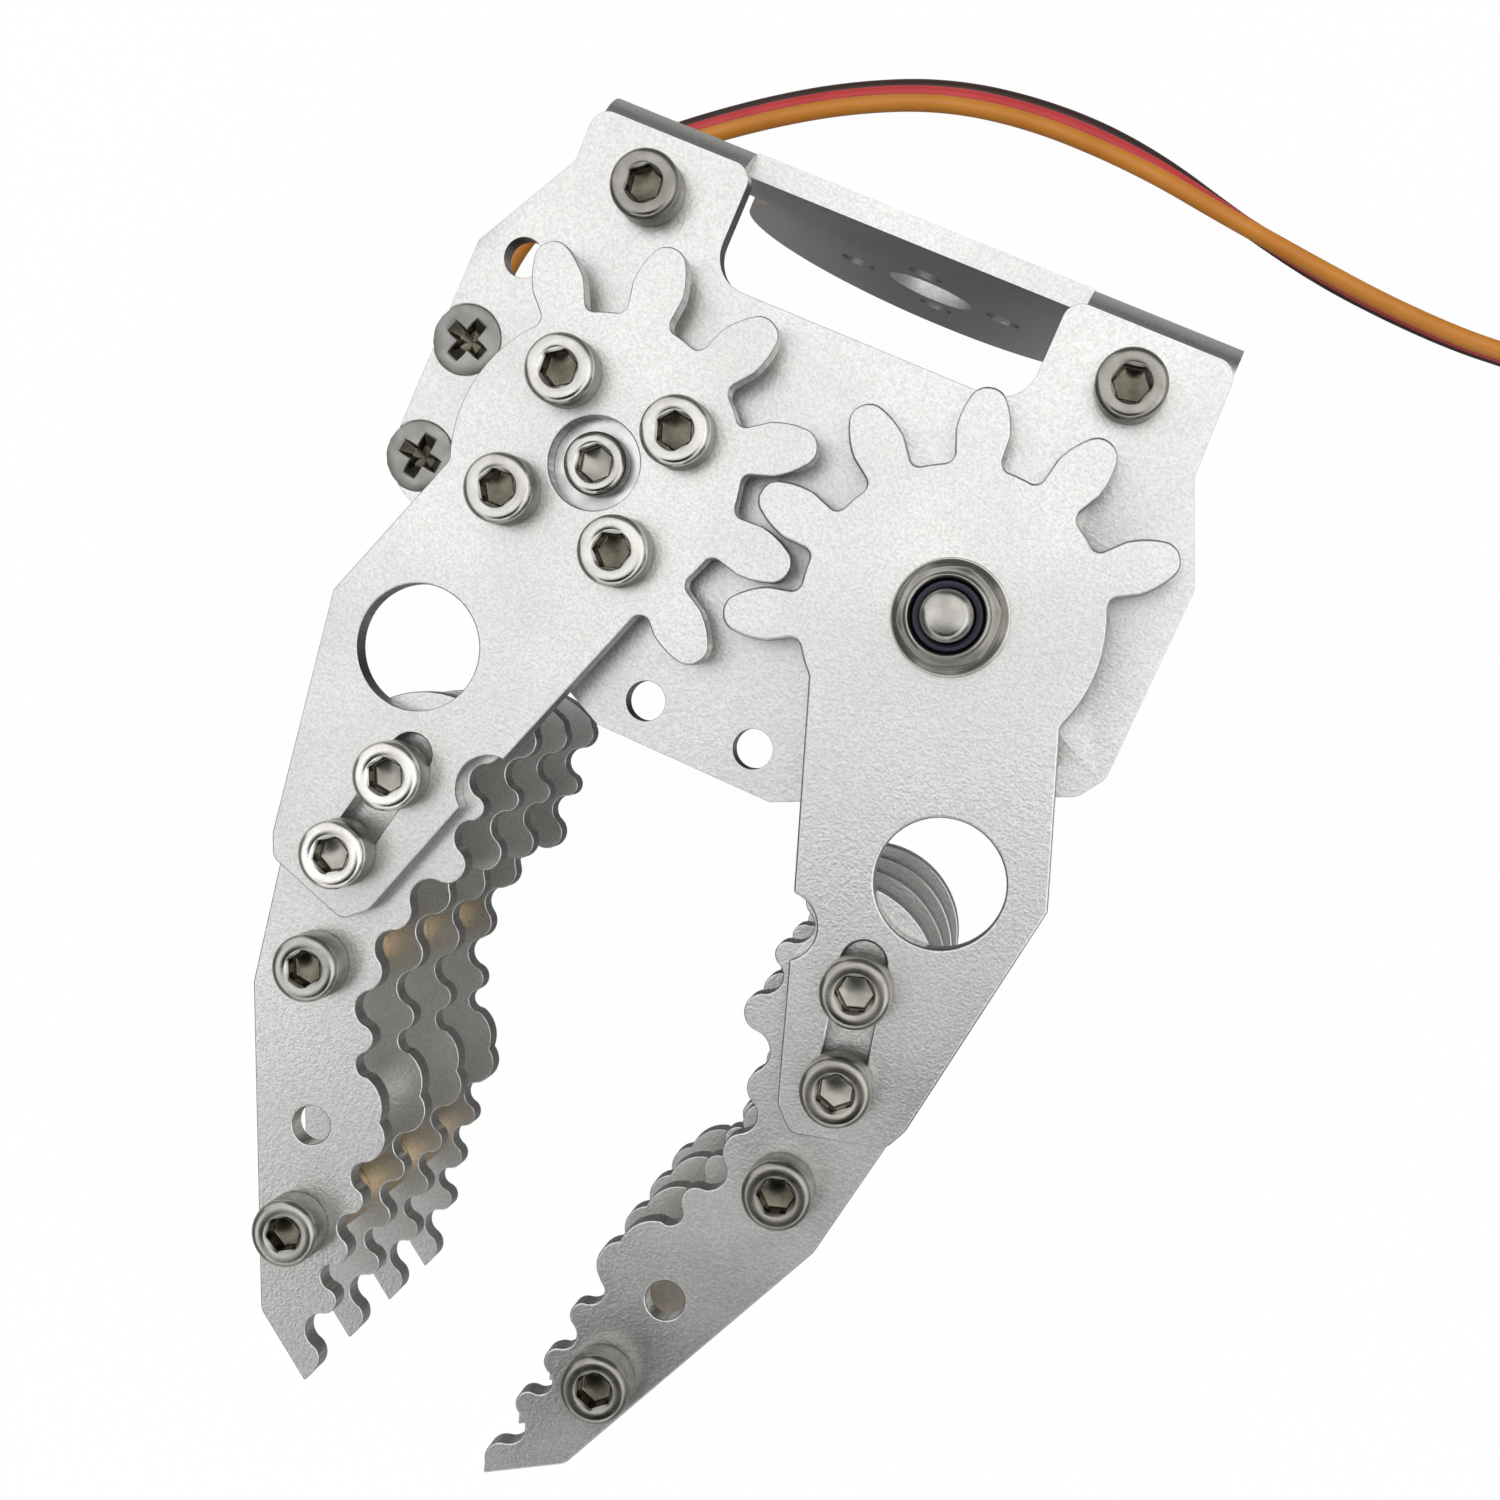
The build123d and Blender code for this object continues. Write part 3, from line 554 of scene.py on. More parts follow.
def softened_node(
    frame: dict, node: str, body: Body, material: Material, slot: str, width_mm: float
) -> Piece:
    """Stands a copy of a CAD node, with merged faces and rounded edges, in the node's place.

    Args:
        node: the CAD node's name.
        body: the body that it rides on.
        material: its finish.
        slot: passed on to mounted, which does not use it.
        width_mm: width of the rounding.

    Returns:
        The new piece.
    """
    mesh = frame["nodes"][node].data.copy()
    mesh.name = f"{node}_dressed"
    work = bmesh.new()
    work.from_mesh(mesh)
    bmesh.ops.remove_doubles(work, verts=work.verts, dist=2e-7)
    flat = math.radians(0.6)
    bmesh.ops.dissolve_limit(work, angle_limit=flat, verts=work.verts, edges=work.edges)
    work.to_mesh(mesh)
    work.free()
    mesh.materials.clear()
    mesh.materials.append(material)
    piece = linked(mesh.name, mesh)
    soften(piece, width_mm)
    return mounted(piece, body, slot, node)


# ---- the object's sub-assemblies


@dataclass
class Plates:
    """The blasted sheet parts: base, wrist bracket, the two geared arms and eight finger plates."""

    frame: dict
    finishes: Finishes
    edge_round: float = 0.22
    layers: int = 4

    def build(self) -> list[Piece]:
        """Dresses every sheet part.

        Returns:
            The new pieces.
        """
        homes = {
            "base_plate": Body.BASE, "wrist_bracket": Body.BASE,
            "drive_arm": Body.LEFT, "driven_arm": Body.RIGHT,
        }
        for layer in range(1, self.layers + 1):
            homes[f"left_finger_plate_{layer}"] = Body.LEFT
            homes[f"right_finger_plate_{layer}"] = Body.RIGHT
        pieces = []
        for node, body in homes.items():
            sheet = self.finishes["bent_sheet" if node == "wrist_bracket" else "blasted_sheet"]
            pieces.append(
                softened_node(self.frame, node, body, sheet, "aluminium_sheet", self.edge_round)
            )
        return pieces


@dataclass
class ScrewHead:
    """One screw of a metric size, seated at the origin with its shank pointing down."""

    length: float = 8.0
    shank_r: float = 1.5
    head_r: float = 2.75
    head_h: float = 3.0
    across: float = 2.5
    depth: float = 1.7
    rim: float = 0.52
    thread: float = 6.0

    def head(self) -> Shell:
        """The head's outer wall and top: rounded foot, upright wall, rounded rim and a flat ring.

        Returns:
            The shell, closed round the socket and under the head.
        """
        h, r, half = self.head_h, self.head_r, self.across / 2
        rim_r, rim_h = r - self.rim, h - self.rim
        turn = np.linspace(0, math.pi / 2, 5)
        mouth = half * 1.155 + 0.12
        rows = [(0, -0.01), (self.shank_r, -0.01), (r - 0.15, 0.0), (r - 0.04, 0.05), (r, 0.16)]
        rows += [(rim_r + self.rim * math.cos(a), rim_h + self.rim * math.sin(a)) for a in turn]
        rows += [(mouth + 0.07, h), (mouth, h - 0.03), (half + 0.05, h - 0.22, 0.9)]
        floor = h - self.depth
        recess = [rows[-1], (half, h - 0.28, 1.0), (half, floor, 1.0)]
        recess += [(half * 0.92, floor - 0.04, 1.0), (half * 0.80, floor - 0.06), (0, floor - 0.42)]
        outer = lathe(rows)
        # The head's side wall takes the knurled finish, darkened as painted shade.
        outer.finish.reshape(len(rows) - 1, -1)[2:5] = WALL
        socket = lathe(recess).dressed(SOCKET)
        socket.finish.reshape(len(recess) - 1, -1)[3:] = SOCKET_FLOOR
        return joined([outer, socket])

    def shank(self) -> Shell:
        """The plain shank with its threaded end."""
        plain, r = max(self.length - self.thread, 0.3), self.shank_r - 0.03
        upper = lathe([(0, 0.05), (r, 0.05), (r, -plain), (0, -plain)], 24)
        return joined([upper, threaded_end(self.shank_r, -plain, -self.length)])

    def shell(self) -> Shell:
        """Head and shank together."""
        return joined([self.head(), self.shank()])


@dataclass
class SunkHead:
    """A countersunk screw with a cross recess, its top flush with the origin's level."""

    length: float = 20.0
    shank_r: float = 1.5
    head_r: float = 2.82
    land: float = 0.18
    arm: float = 1.78
    half: float = 0.52
    depth: float = 1.15
    thread: float = 8.0

    def shell(self) -> Shell:
        """Cone, land, flat top and tapered cross recess.

        Each row round the recess has the radius of a plus sign whose arms get shorter and narrower
        with depth, and the columns stand closer at the plus sign's corners.

        Returns:
            The shell.
        """
        corner = math.atan2(self.half, self.arm)
        near = corner * 1.6
        quarter = np.array([-corner, 0.0, corner, near, math.pi / 4, math.pi / 2 - near])
        angles = (quarter + np.arange(4)[:, None] * math.pi / 2).ravel()

        def plus(scale: float, narrow: float, height: float) -> np.ndarray:
            """A plus sign of points at one height."""
            return circled(cross(angles, self.arm * scale, self.half * narrow), angles, height)

        cone, r, floor = self.shank_r - self.head_r, self.shank_r - 0.03, -self.depth
        profile = [
            (0, cone - 0.2), (r, cone - 0.2), (self.shank_r, cone), (self.head_r, -self.land),
            (self.head_r, -0.06), (self.head_r - 0.08, -0.01), (self.arm * 1.14, -0.01),
        ]
        rows = [circled(radius, angles, height) for radius, height in profile]
        rows += [plus(1.06, 1.2, -0.02), plus(0.98, 1.0, -0.12)]
        recess = [rows[-1], plus(0.55, 0.8, floor), plus(0.45, 0.7, floor - 0.05)]
        recess += [circled(0, angles, floor - 0.35)]
        head = joined([grid_shell(np.stack(rows)), grid_shell(np.stack(recess)).dressed(SOCKET)])
        low, plain = floor - 0.36, self.length - self.thread
        shank = lathe([(0, low), (r, low), (r, -plain), (0, -plain)], 24)
        return joined([head, shank, threaded_end(self.shank_r, -plain, -self.length)])


@dataclass
class HexNut:
    """A chamfered hexagon nut hanging from its seat at the origin."""

    across: float = 5.5
    height: float = 2.4
    bore_r: float = 1.52
    sink: float = 0.25
    chamfer: float = 0.22

    def shell(self) -> Shell:
        """The nut with both rims rounded to a circle and a bore countersunk at both ends.

        Returns:
            The shell, a closed ring. Its lower half is the upper one, upside down.
        """
        half, h, c, bore = self.across / 2, self.height, self.chamfer, self.bore_r
        upper = [
            (bore, -self.sink), (bore + self.sink, 0.0), (half * 0.99, 0.0),
            (half * 1.01, -c * 0.4, 0.35), (half, -c, 1.0),
        ]
        lower = [(radius, -h - height, *share) for radius, height, *share in reversed(upper)]
        return lathe(upper + lower + upper[:1])


@dataclass(frozen=True)
class Fasteners:
    """Equal fasteners that stand for one CAD node.

    Their places are (x, y) with y counted from the line through the two gear axes.
    """

    name: str
    node: str
    body: Body
    shell: Shell
    places: tuple
    level: float
    turns: tuple = ()
    finish: str = "stainless"
    # Socket wall and floor finishes: dark steels that paint the shade in the socket.
    recess: str = "recess_painted_shade"
    floor: str = "recess_painted_shade"

    def piece(self, finishes: Finishes) -> Piece:
        """Makes them as one piece, each turned a little differently.

        Args:
            finishes: the gripper's finishes.

        Returns:
            The piece.
        """
        turns = self.turns or tuple(17.0 * i for i in range(len(self.places)))
        copies = [
            self.shell.turned(turn).moved(x, y + GEAR_Y, self.level)
            for (x, y), turn in zip(self.places, turns)
        ]
        # Socket, head wall and socket floor finishes carry painted shade; a lighter floor paints a
        # glint.
        kinds = [finishes[kind] for kind in (self.finish, self.recess, "knurled_wall_painted_shade", self.floor)]
        piece = mesh_piece(self.name, joined(copies), *kinds)
        soften(piece, 0.05, 38.0, 1)
        return mounted(piece, self.body, "stainless_steel", self.node)


@dataclass
class Hardware:
    """All socket screws, sunk screws and nuts, placed from the line through the two gear axes."""

    finishes: Finishes
    arm_top: float = 27.0
    arm_low: float = 25.0
    base_top: float = 23.0
    plate: float = 2.0
    stack_low: float = -7.0
    ear_low: float = 6.8
    drive_x: float = -15.0
    horn_circle_r: float = 7.2
    horn_turn: float = 40.0
    slot_screws: tuple = ((20.0, -28.6), (21.65, -36.1))
    stack_screws: tuple = ((20.75, -45.9), (13.95, -66.4))
    bracket_screws: tuple = ((-20.2, 21.2), (20.2, 21.2))
    servo_screws: tuple = ((19.9, 5.0), (19.9, -5.0), (-29.6, 5.0), (-29.6, -5.0))

    def build(self) -> list[Piece]:
        """Makes every screw and nut.

        Returns:
            The new pieces.
        """
        short, nut = ScrewHead().shell(), HexNut().shell()
        horn_screw = ScrewHead(length=4.0, thread=3.0).shell()
        centre = ScrewHead(length=7.0, head_r=2.5, head_h=2.0, depth=1.35, thread=4.0).shell()
        long_screw = ScrewHead(length=35.0, thread=6.5).shell()
        quarters = [math.radians(self.horn_turn + 90 * i) for i in range(4)]
        r = self.horn_circle_r
        horn = tuple((self.drive_x + r * math.cos(a), r * math.sin(a)) for a in quarters)
        lots = [
            # Bracket bolts: darker steel as painted shade.
            Fasteners("bracket_bolts", "bracket_screws", Body.BASE, short, self.bracket_screws,
                      self.base_top, (8, 41), "steel_painted_deep_shade"),
            Fasteners("bracket_bolt_nuts", "bracket_nuts", Body.BASE, nut, self.bracket_screws,
                      self.base_top - 2 * self.plate),
            Fasteners("horn_bolts", "horn_screws", Body.LEFT, horn_screw, horn,
                      self.arm_top, (20, 3, 33, 47)),
            # Its socket floor is lighter than the recess walls: a painted glint.
            Fasteners("horn_centre_bolt", "horn_centre_screw", Body.LEFT, centre,
                      ((self.drive_x, 0),), self.arm_low, (12,), floor="steel_painted_shade"),
            Fasteners("servo_sunk_screws", "servo_mount_screws", Body.BASE, SunkHead().shell(),
                      self.servo_screws, self.base_top, (30, 75, 70, 82), "zinc_grey",
                      "cross_recess_painted_shade"),
            Fasteners("servo_ear_nuts", "servo_mount_nuts", Body.BASE, nut, self.servo_screws,
                      self.ear_low),
        ]
        # Left bolts get lighter steel and right bolts darker: painted light and painted shade on
        # the same kind of bolt.
        sides = (
            ("left", Body.LEFT, -1, (25, 4), "steel_painted_lit", "steel_painted_half_shade"),
            ("right", Body.RIGHT, 1, (50, 14), "steel_painted_shade", "steel_painted_deep_shade"),
        )
        for side, body, way, turns, slot_painted_tone, stack_painted_tone in sides:
            slots = tuple((way * x, y) for x, y in self.slot_screws)
            stack = tuple((way * x, y) for x, y in self.stack_screws)
            lots += [
                # The slot bolts' socket floors are lighter than the recess walls: a painted glint.
                Fasteners(f"{side}_slot_bolts", f"{side}_slot_screws", body, short, slots,
                          self.arm_top, turns, slot_painted_tone, floor="steel_painted_shade"),
                Fasteners(f"{side}_slot_bolt_nuts", f"{side}_slot_nuts", body, nut, slots,
                          self.arm_low - self.plate),
                Fasteners(f"{side}_finger_bolts", f"{side}_finger_screws", body, long_screw, stack,
                          self.arm_low, turns, stack_painted_tone),
                Fasteners(f"{side}_finger_bolt_nuts", f"{side}_finger_nuts", body, nut, stack,
                          self.stack_low),
            ]
        return [lot.piece(self.finishes) for lot in lots]


@dataclass
class PivotStack:
    """The driven arm's pivot: flanged lock nut, blue insert, domed screw, washer and bush."""

    frame: dict
    finishes: Finishes
    x: float = 15.0
    nut_low: float = 27.6
    nut_top: float = 31.8
    screw_top: float = 33.2
    dome_r: float = 0.75
    head_low: float = 18.4
    head_top: float = 21.0
    insert_low: float = 30.7
    insert_top: float = 31.18

    def place(self, name: str, node: str, shell: Shell, finish: str, slot: str) -> Piece:
        """Stands one turned piece on the pivot axis in a node's place."""
        piece = mesh_piece(name, shell.moved(self.x, GEAR_Y, 0), self.finishes[finish])
        soften(piece, 0.05, 38.0, 1)
        return mounted(piece, Body.BASE, slot, node)

    def lock_nut(self) -> Shell:
        """Flange, low hexagon and rolled crown as one turned profile round the thread.

        Returns:
            The shell.
        """
        low, top = self.nut_low, self.nut_top
        rows = [
            (2.05, low + 0.3), (2.4, low), (4.2, low), (4.35, low + 0.15), (4.35, low + 0.85),
            (4.26, low + 1.02), (4.05, low + 1.14), (3.86, low + 1.3, 0.1),
            (3.74, low + 1.6, 0.3), (3.68, low + 2.6, 0.3), (3.56, low + 3.0, 0.1),
            (3.42, low + 3.3), (3.32, top - 0.45), (3.24, top - 0.2), (3.12, top - 0.05),
            (3.0, top), (2.88, top - 0.05), (2.80, top - 0.2), (2.76, top - 0.5),
            (2.74, top - 1.1), (2.05, top - 1.1), (2.05, low + 0.3),
        ]
        return lathe(rows, 72)

    def insert(self) -> Shell:
        """The blue ring inside the crown."""
        low, top = self.insert_low, self.insert_top
        return lathe([
            (2.06, low), (2.7, low), (2.7, low + 0.3), (2.6, top - 0.03), (2.3, top),
            (2.08, top - 0.08), (2.06, low),
        ])

    def screw(self) -> Shell:
        """A low head with a hexagon socket underneath, a plain shank and a domed end on top.

        Returns:
            The shell.
        """
        top, low, plate, dome = self.screw_top, self.head_low, self.head_top, self.dome_r
        turn = np.linspace(0, math.pi / 2, 9)
        side, level = 2.0 - dome, top - 0.1 - dome
        rows = [
            (0, low + 1.45), (0.6, low + 1.45), (1.25, low + 1.4, 1.0), (1.25, low + 0.05, 1.0),
            (1.55, low), (3.3, low), (3.5, low + 0.2), (3.5, plate - 0.1), (3.4, plate),
            (2.0, plate), (1.98, 31.0), (2.0, level),
        ]
        rows += [(side + dome * math.cos(a), level + dome * math.sin(a)) for a in turn]
        return lathe(rows + [(0.9, top - 0.06), (0, top - 0.02)])

    def build(self) -> list[Piece]:
        """Makes the pivot's pieces.

        Returns:
            The new pieces.
        """
        steel, frame, finishes = "stainless_steel", self.frame, self.finishes
        return [
            # The lock nut and the pivot screw take darker steels than the washer: painted shade.
            self.place("lock_nut", "pivot_lock_nut", self.lock_nut(), "steel_painted_shade", steel),
            # The blue ring's finish is darkened as painted shade.
            self.place(
                "lock_nut_ring", "pivot_nut_insert", self.insert(), "nylon_blue_painted_shade", "blue_nylon"
            ),
            self.place("pivot_bolt", "pivot_screw", self.screw(), "steel_painted_half_shade", steel),
            softened_node(frame, "pivot_washer", Body.BASE, finishes["stainless"], steel, 0.08),
            softened_node(frame, "pivot_bush", Body.BASE, finishes["brass"], "brass", 0.08),
        ]


@dataclass
class Servo:
    """The servo's shells and works, its horn, and the spacer tubes that carry it."""

    frame: dict
    finishes: Finishes
    middle_x: float = -4.85
    half_length: float = 20.35
    ear_top: float = 9.3
    ear_low: float = 6.8
    rib_reach: float = 5.6
    rib_rise: float = 3.4
    rib_half: float = 0.7
    rib_sunk: float = 0.3

    def ribs(self) -> Shell:
        """Triangular ribs above and below both ears, midway between the screws.

        Each is a triangle on the case's end wall and the ear, drawn out to both sides of the
        servo's middle plane, and starts a little inside both.

        Returns:
            The ribs as one shell.
        """
        ribs = []
        for side in (-1, 1):
            for level, way in ((self.ear_top, 1), (self.ear_low, -1)):
                wall = self.middle_x + side * (self.half_length - self.rib_sunk)
                tip = wall + side * self.rib_reach
                foot = level - way * self.rib_sunk
                corners = np.array([
                    [wall, foot], [tip, foot], [tip, level], [wall, level + way * self.rib_rise],
                ])
                middle = np.repeat(corners.mean(0)[None], 4, 0)
                flats = zip((middle, corners, corners, middle), (-1, -1, 1, 1))
                rows = [np.insert(flat, 1, y * self.rib_half, axis=1) for flat, y in flats]
                ribs.append(grid_shell(np.stack(rows)).moved(0, GEAR_Y, 0))
        return joined(ribs)

    def build(self) -> list[Piece]:
        """Dresses the servo and its mounting.

        Returns:
            The new pieces.
        """
        dress = [
            ("servo_bottom_cover", Body.BASE, "case_black", "black_plastic", 0.35),
            ("servo_case", Body.BASE, "case_black", "black_plastic", 0.25),
            ("servo_top_cover", Body.BASE, "case_black", "black_plastic", 0.35),
            ("servo_lead_grommet", Body.BASE, "case_black", "black_plastic", 0.3),
            ("servo_horn", Body.LEFT, "turned_aluminium", "turned_aluminium", 0.15),
            ("servo_spacers", Body.BASE, "brass", "brass", 0.12),
            ("left_finger_spacers", Body.LEFT, "brass", "brass", 0.12),
            ("right_finger_spacers", Body.RIGHT, "brass", "brass", 0.12),
        ]
        pieces = [
            softened_node(self.frame, node, body, self.finishes[finish], slot, width)
            for node, body, finish, slot, width in dress
        ]
        ribs = mesh_piece("servo_ear_ribs", self.ribs(), self.finishes["case_black"])
        soften(ribs, 0.15)
        pieces.append(mounted(ribs, Body.BASE, "black_plastic"))
        inside = {
            "gear_steel": ("motor_pinion", "first_gear", "third_gear", "output_shaft"),
            "stainless": ("gear_pin", "bearing", "case_screws"),
            "motor_can": ("motor",),
            "brass": ("second_gear",),
            "case_black": ("position_pot",),
            "board_green": ("circuit_board",),
        }
        for finish, works in inside.items():
            for name in works:
                mesh = self.frame["nodes"][f"servo_{name}"].data
                mesh.materials.clear()
                mesh.materials.append(self.finishes[finish])
        return pieces


@dataclass
class ServoLead:
    """Three wires side by side from the servo's end, round the wrist to a coil and a plug."""

    frame: dict
    finishes: Finishes
    diameter: float = 3.0
    wire_r: float = 0.85
    wire_step: float = 1.66
    floor: float = FLOOR_Z
    coil_centre: tuple[float, float] = (72.0, 31.9)
    coil_r: float = 16.5
    lean_span: tuple[float, float] = (4.0, 34.0)
    upper_lean: tuple[float, float] = (45.0, 86.0)
    lower_lean: tuple[float, float] = (53.0, 88.0)
    settle: float = 14.0
    flat_from: float = 51.0
    flat_run: float = 20.0
    layer: float = 1.75
    tie_rise: float = 0.4
    tail: tuple = ((70.0, 3.25), (64.0, 3.25), (60.6, 2.9), (58.6, 1.95), (57.0, 1.95))
    route: tuple = (
        (-27.7, -27.8, 2.6), (-34.0, -27.8, 2.6), (-41.1, -24.2, 1.5), (-44.6, -16.0, 1.5),
        (-42.6, -6.2, 1.5), (-35.2, 2.9, 1.5), (-26.2, 9.9, 1.5), (-17.6, 15.2, 1.5),
        (-8.5, 19.0, 1.5), (1.5, 20.4, 1.5), (11.6, 19.9, 1.5), (22.6, 17.5, 1.5),
        (33.8, 15.6, 1.5), (44.7, 14.9, 1.5), (52.0, 15.4, 1.5), (58.0, 15.4, 1.5),
    )

    def control_points(self) -> np.ndarray:
        """The route, then one and a half turns of the coil and the straight end to the plug.

        Turn angle a runs anticlockwise from the coil's near side. The points stand a little
        outside the turns' own radius, as control points of a circle do. They rise by one layer of
        the flat ribbon before the second turn, and by the tie's thickness where it passes under.

        Returns:
            Points by 3, in metres.
        """
        count = np.arange(1, 18)
        half_step = math.pi / 12
        turns = (2 * count - 1) * half_step - math.pi / 2
        outer = self.coil_r / math.cos(half_step)
        upper = np.clip((count - 5) / 5, 0, 1) * self.layer
        lift = self.diameter / 2 + upper + np.isin(count % 12, (3, 4)) * self.tie_rise
        coil = circled(outer, turns, lift) + [*self.coil_centre, 0]
        end = np.insert(np.array(self.tail), 1, self.coil_centre[1] + self.coil_r, axis=1)
        points = np.concatenate([np.array(self.route), coil, end])
        return (points + [0, 0, self.floor]) * MM

    def centre_line(self) -> np.ndarray:
        """Points along the smooth spline that the control points shape.

        Returns:
            Points by 3, in metres, in order from the servo.
        """
        curve = bpy.data.curves.new("lead_route", "CURVE")
        curve.dimensions = "3D"
        curve.resolution_u = 14
        spline = curve.splines.new("NURBS")
        points = self.control_points()
        spline.points.add(len(points) - 1)
        spline.points.foreach_set("co", np.c_[points, np.ones(len(points))].ravel())
        spline.order_u = 3
        spline.use_endpoint_u = True
        guide = linked("lead_route", curve)
        bpy.context.view_layer.update()
        mesh = bpy.data.meshes.new_from_object(guide)
        line = np.empty(len(mesh.vertices) * 3)
        mesh.vertices.foreach_get("co", line)
        bpy.data.objects.remove(guide)
        bpy.data.meshes.remove(mesh)
        return line.reshape(-1, 3)

    def wires(self, line: np.ndarray) -> Shell:
        """Three round wires joined side by side, a ribbon that leans over on the floor.

        Each neighbour stands from the middle wire by one step along the level side direction
        turned up by its lean. The two leans grow from nothing at the servo to their first value
        over the settling length, then smoothly to their last one between two places along X, and
        back to nothing outside the camera's view, where the ribbon lies flat. The middle wire is
        lifted by radius + step sin(lower lean) - half the cord's thickness, so the lowest wire
        lies on the floor.

        Args:
            line: the centre line in metres.

        Returns:
            The wires in millimetres, from the lowest to the highest.
        """
        line = line / MM
        ahead = np.gradient(line, axis=0)
        ahead /= np.linalg.norm(ahead, axis=1, keepdims=True)
        side = np.cross(ahead, [0, 0, 1.0])
        side /= np.linalg.norm(side, axis=1, keepdims=True)
        up = np.cross(side, ahead)
        run = np.r_[0, np.cumsum(np.linalg.norm(np.diff(line, axis=0), axis=1))]
        eased = smooth(run / self.settle)
        start, stop = self.lean_span
        along = (line[:, 0] - start) / (stop - start)
        along = np.where(run < self.run_at(line, run, start), 0, along)
        share = smooth(np.maximum.accumulate(along))
        upright = 1 - smooth((run - self.run_at(line, run, self.flat_from)) / self.flat_run)
        leans = []
        for first, last in (self.upper_lean, self.lower_lean):
            lean = np.radians(first + (last - first) * share) * eased * upright
            level, upward = np.cos(lean)[:, None], np.sin(lean)[:, None]
            leans.append(self.wire_step * (level * side + upward * up))
        lift = (self.wire_r + leans[1] @ [0, 0, 1.0] - self.diameter / 2) * eased
        middle = line + lift[:, None] * [0, 0, 1.0]
        angles = np.arange(14) * math.pi / 7
        ring = np.cos(angles)[:, None] * side[:, None, :] + np.sin(angles)[:, None] * up[:, None, :]
        wires = []
        for number, centre in enumerate((middle - leans[1], middle, middle + leans[0])):
            tube = centre[:, None, :] + self.wire_r * ring
            ends = np.repeat(centre[[0, -1], None, :], len(angles), 1)
            wires.append(grid_shell(np.concatenate([ends[:1], tube, ends[1:]])).dressed(number))
        return joined(wires)

    def run_at(self, line: np.ndarray, run: np.ndarray, x: float) -> float:
        """Length along the line at which it first passes a place along X."""
        return float(run[np.argmax(line[:, 0] > x)])

    def tie(self) -> Shell:
        """A flat band closed round the coil's two layers, with its lock on top.

        The band is the ring between two rounded rectangles: across = half width times the signed
        square root of the cosine of the turn angle, and up = half height times that of the sine.

        Returns:
            The shell.
        """
        columns = 48
        angles = np.arange(columns) * 2 * math.pi / columns
        half_x, half_y, half_z, thick = 3.1, 1.1, 2.18, self.tie_rise
        across = np.sign(np.cos(angles)) * np.sqrt(np.abs(np.cos(angles)))
        rise = np.sign(np.sin(angles)) * np.sqrt(np.abs(np.sin(angles)))
        rows = []
        for inset, side in ((0, -1), (0, 1), (thick, 1), (thick, -1), (0, -1)):
            flat = np.full(columns, side * half_y)
            high = half_z + rise * (half_z - inset)
            rows.append(np.stack([across * (half_x - inset), flat, high], -1))
        top, lock_r, lock_h, edge = 2 * half_z, 1.7, 1.15, 0.25
        lock = lathe([
            (0, top - 0.1), (lock_r, top - 0.1), (lock_r, top + lock_h - edge),
            (lock_r - edge, top + lock_h), (0, top + lock_h),
        ], 4)
        band = joined([grid_shell(np.stack(rows)), lock.turned(45.0)])
        return band.moved(self.coil_centre[0] + self.coil_r, self.coil_centre[1], self.floor)

    def build(self) -> list[Piece]:
        """Makes the lead, its plug and the coil's tie.

        Returns:
            The new pieces.
        """
        line = self.centre_line()
        colours = [self.finishes[f"wire_{colour}"] for colour in ("brown", "red", "orange")]
        lead = mesh_piece("servo_wires", self.wires(line), *colours)
        lead.data.shade_smooth()
        mounted(lead, Body.BASE, "lead_plastic", "servo_lead", "servo_lead_coil")
        black, slot = self.finishes["case_black"], "black_plastic"
        plug = softened_node(self.frame, "servo_lead_plug", Body.BASE, black, slot, 0.2)
        tie = mesh_piece("lead_tie", self.tie(), black)
        soften(tie, 0.12)
        mounted(tie, Body.BASE, slot)
        return [lead, plug, tie]


@dataclass(frozen=True)
class Lamp:
    """A square soft lamp: its name, its place and side in metres, and its power in watts."""

    name: str
    place: Triple
    size: float
    watts: float


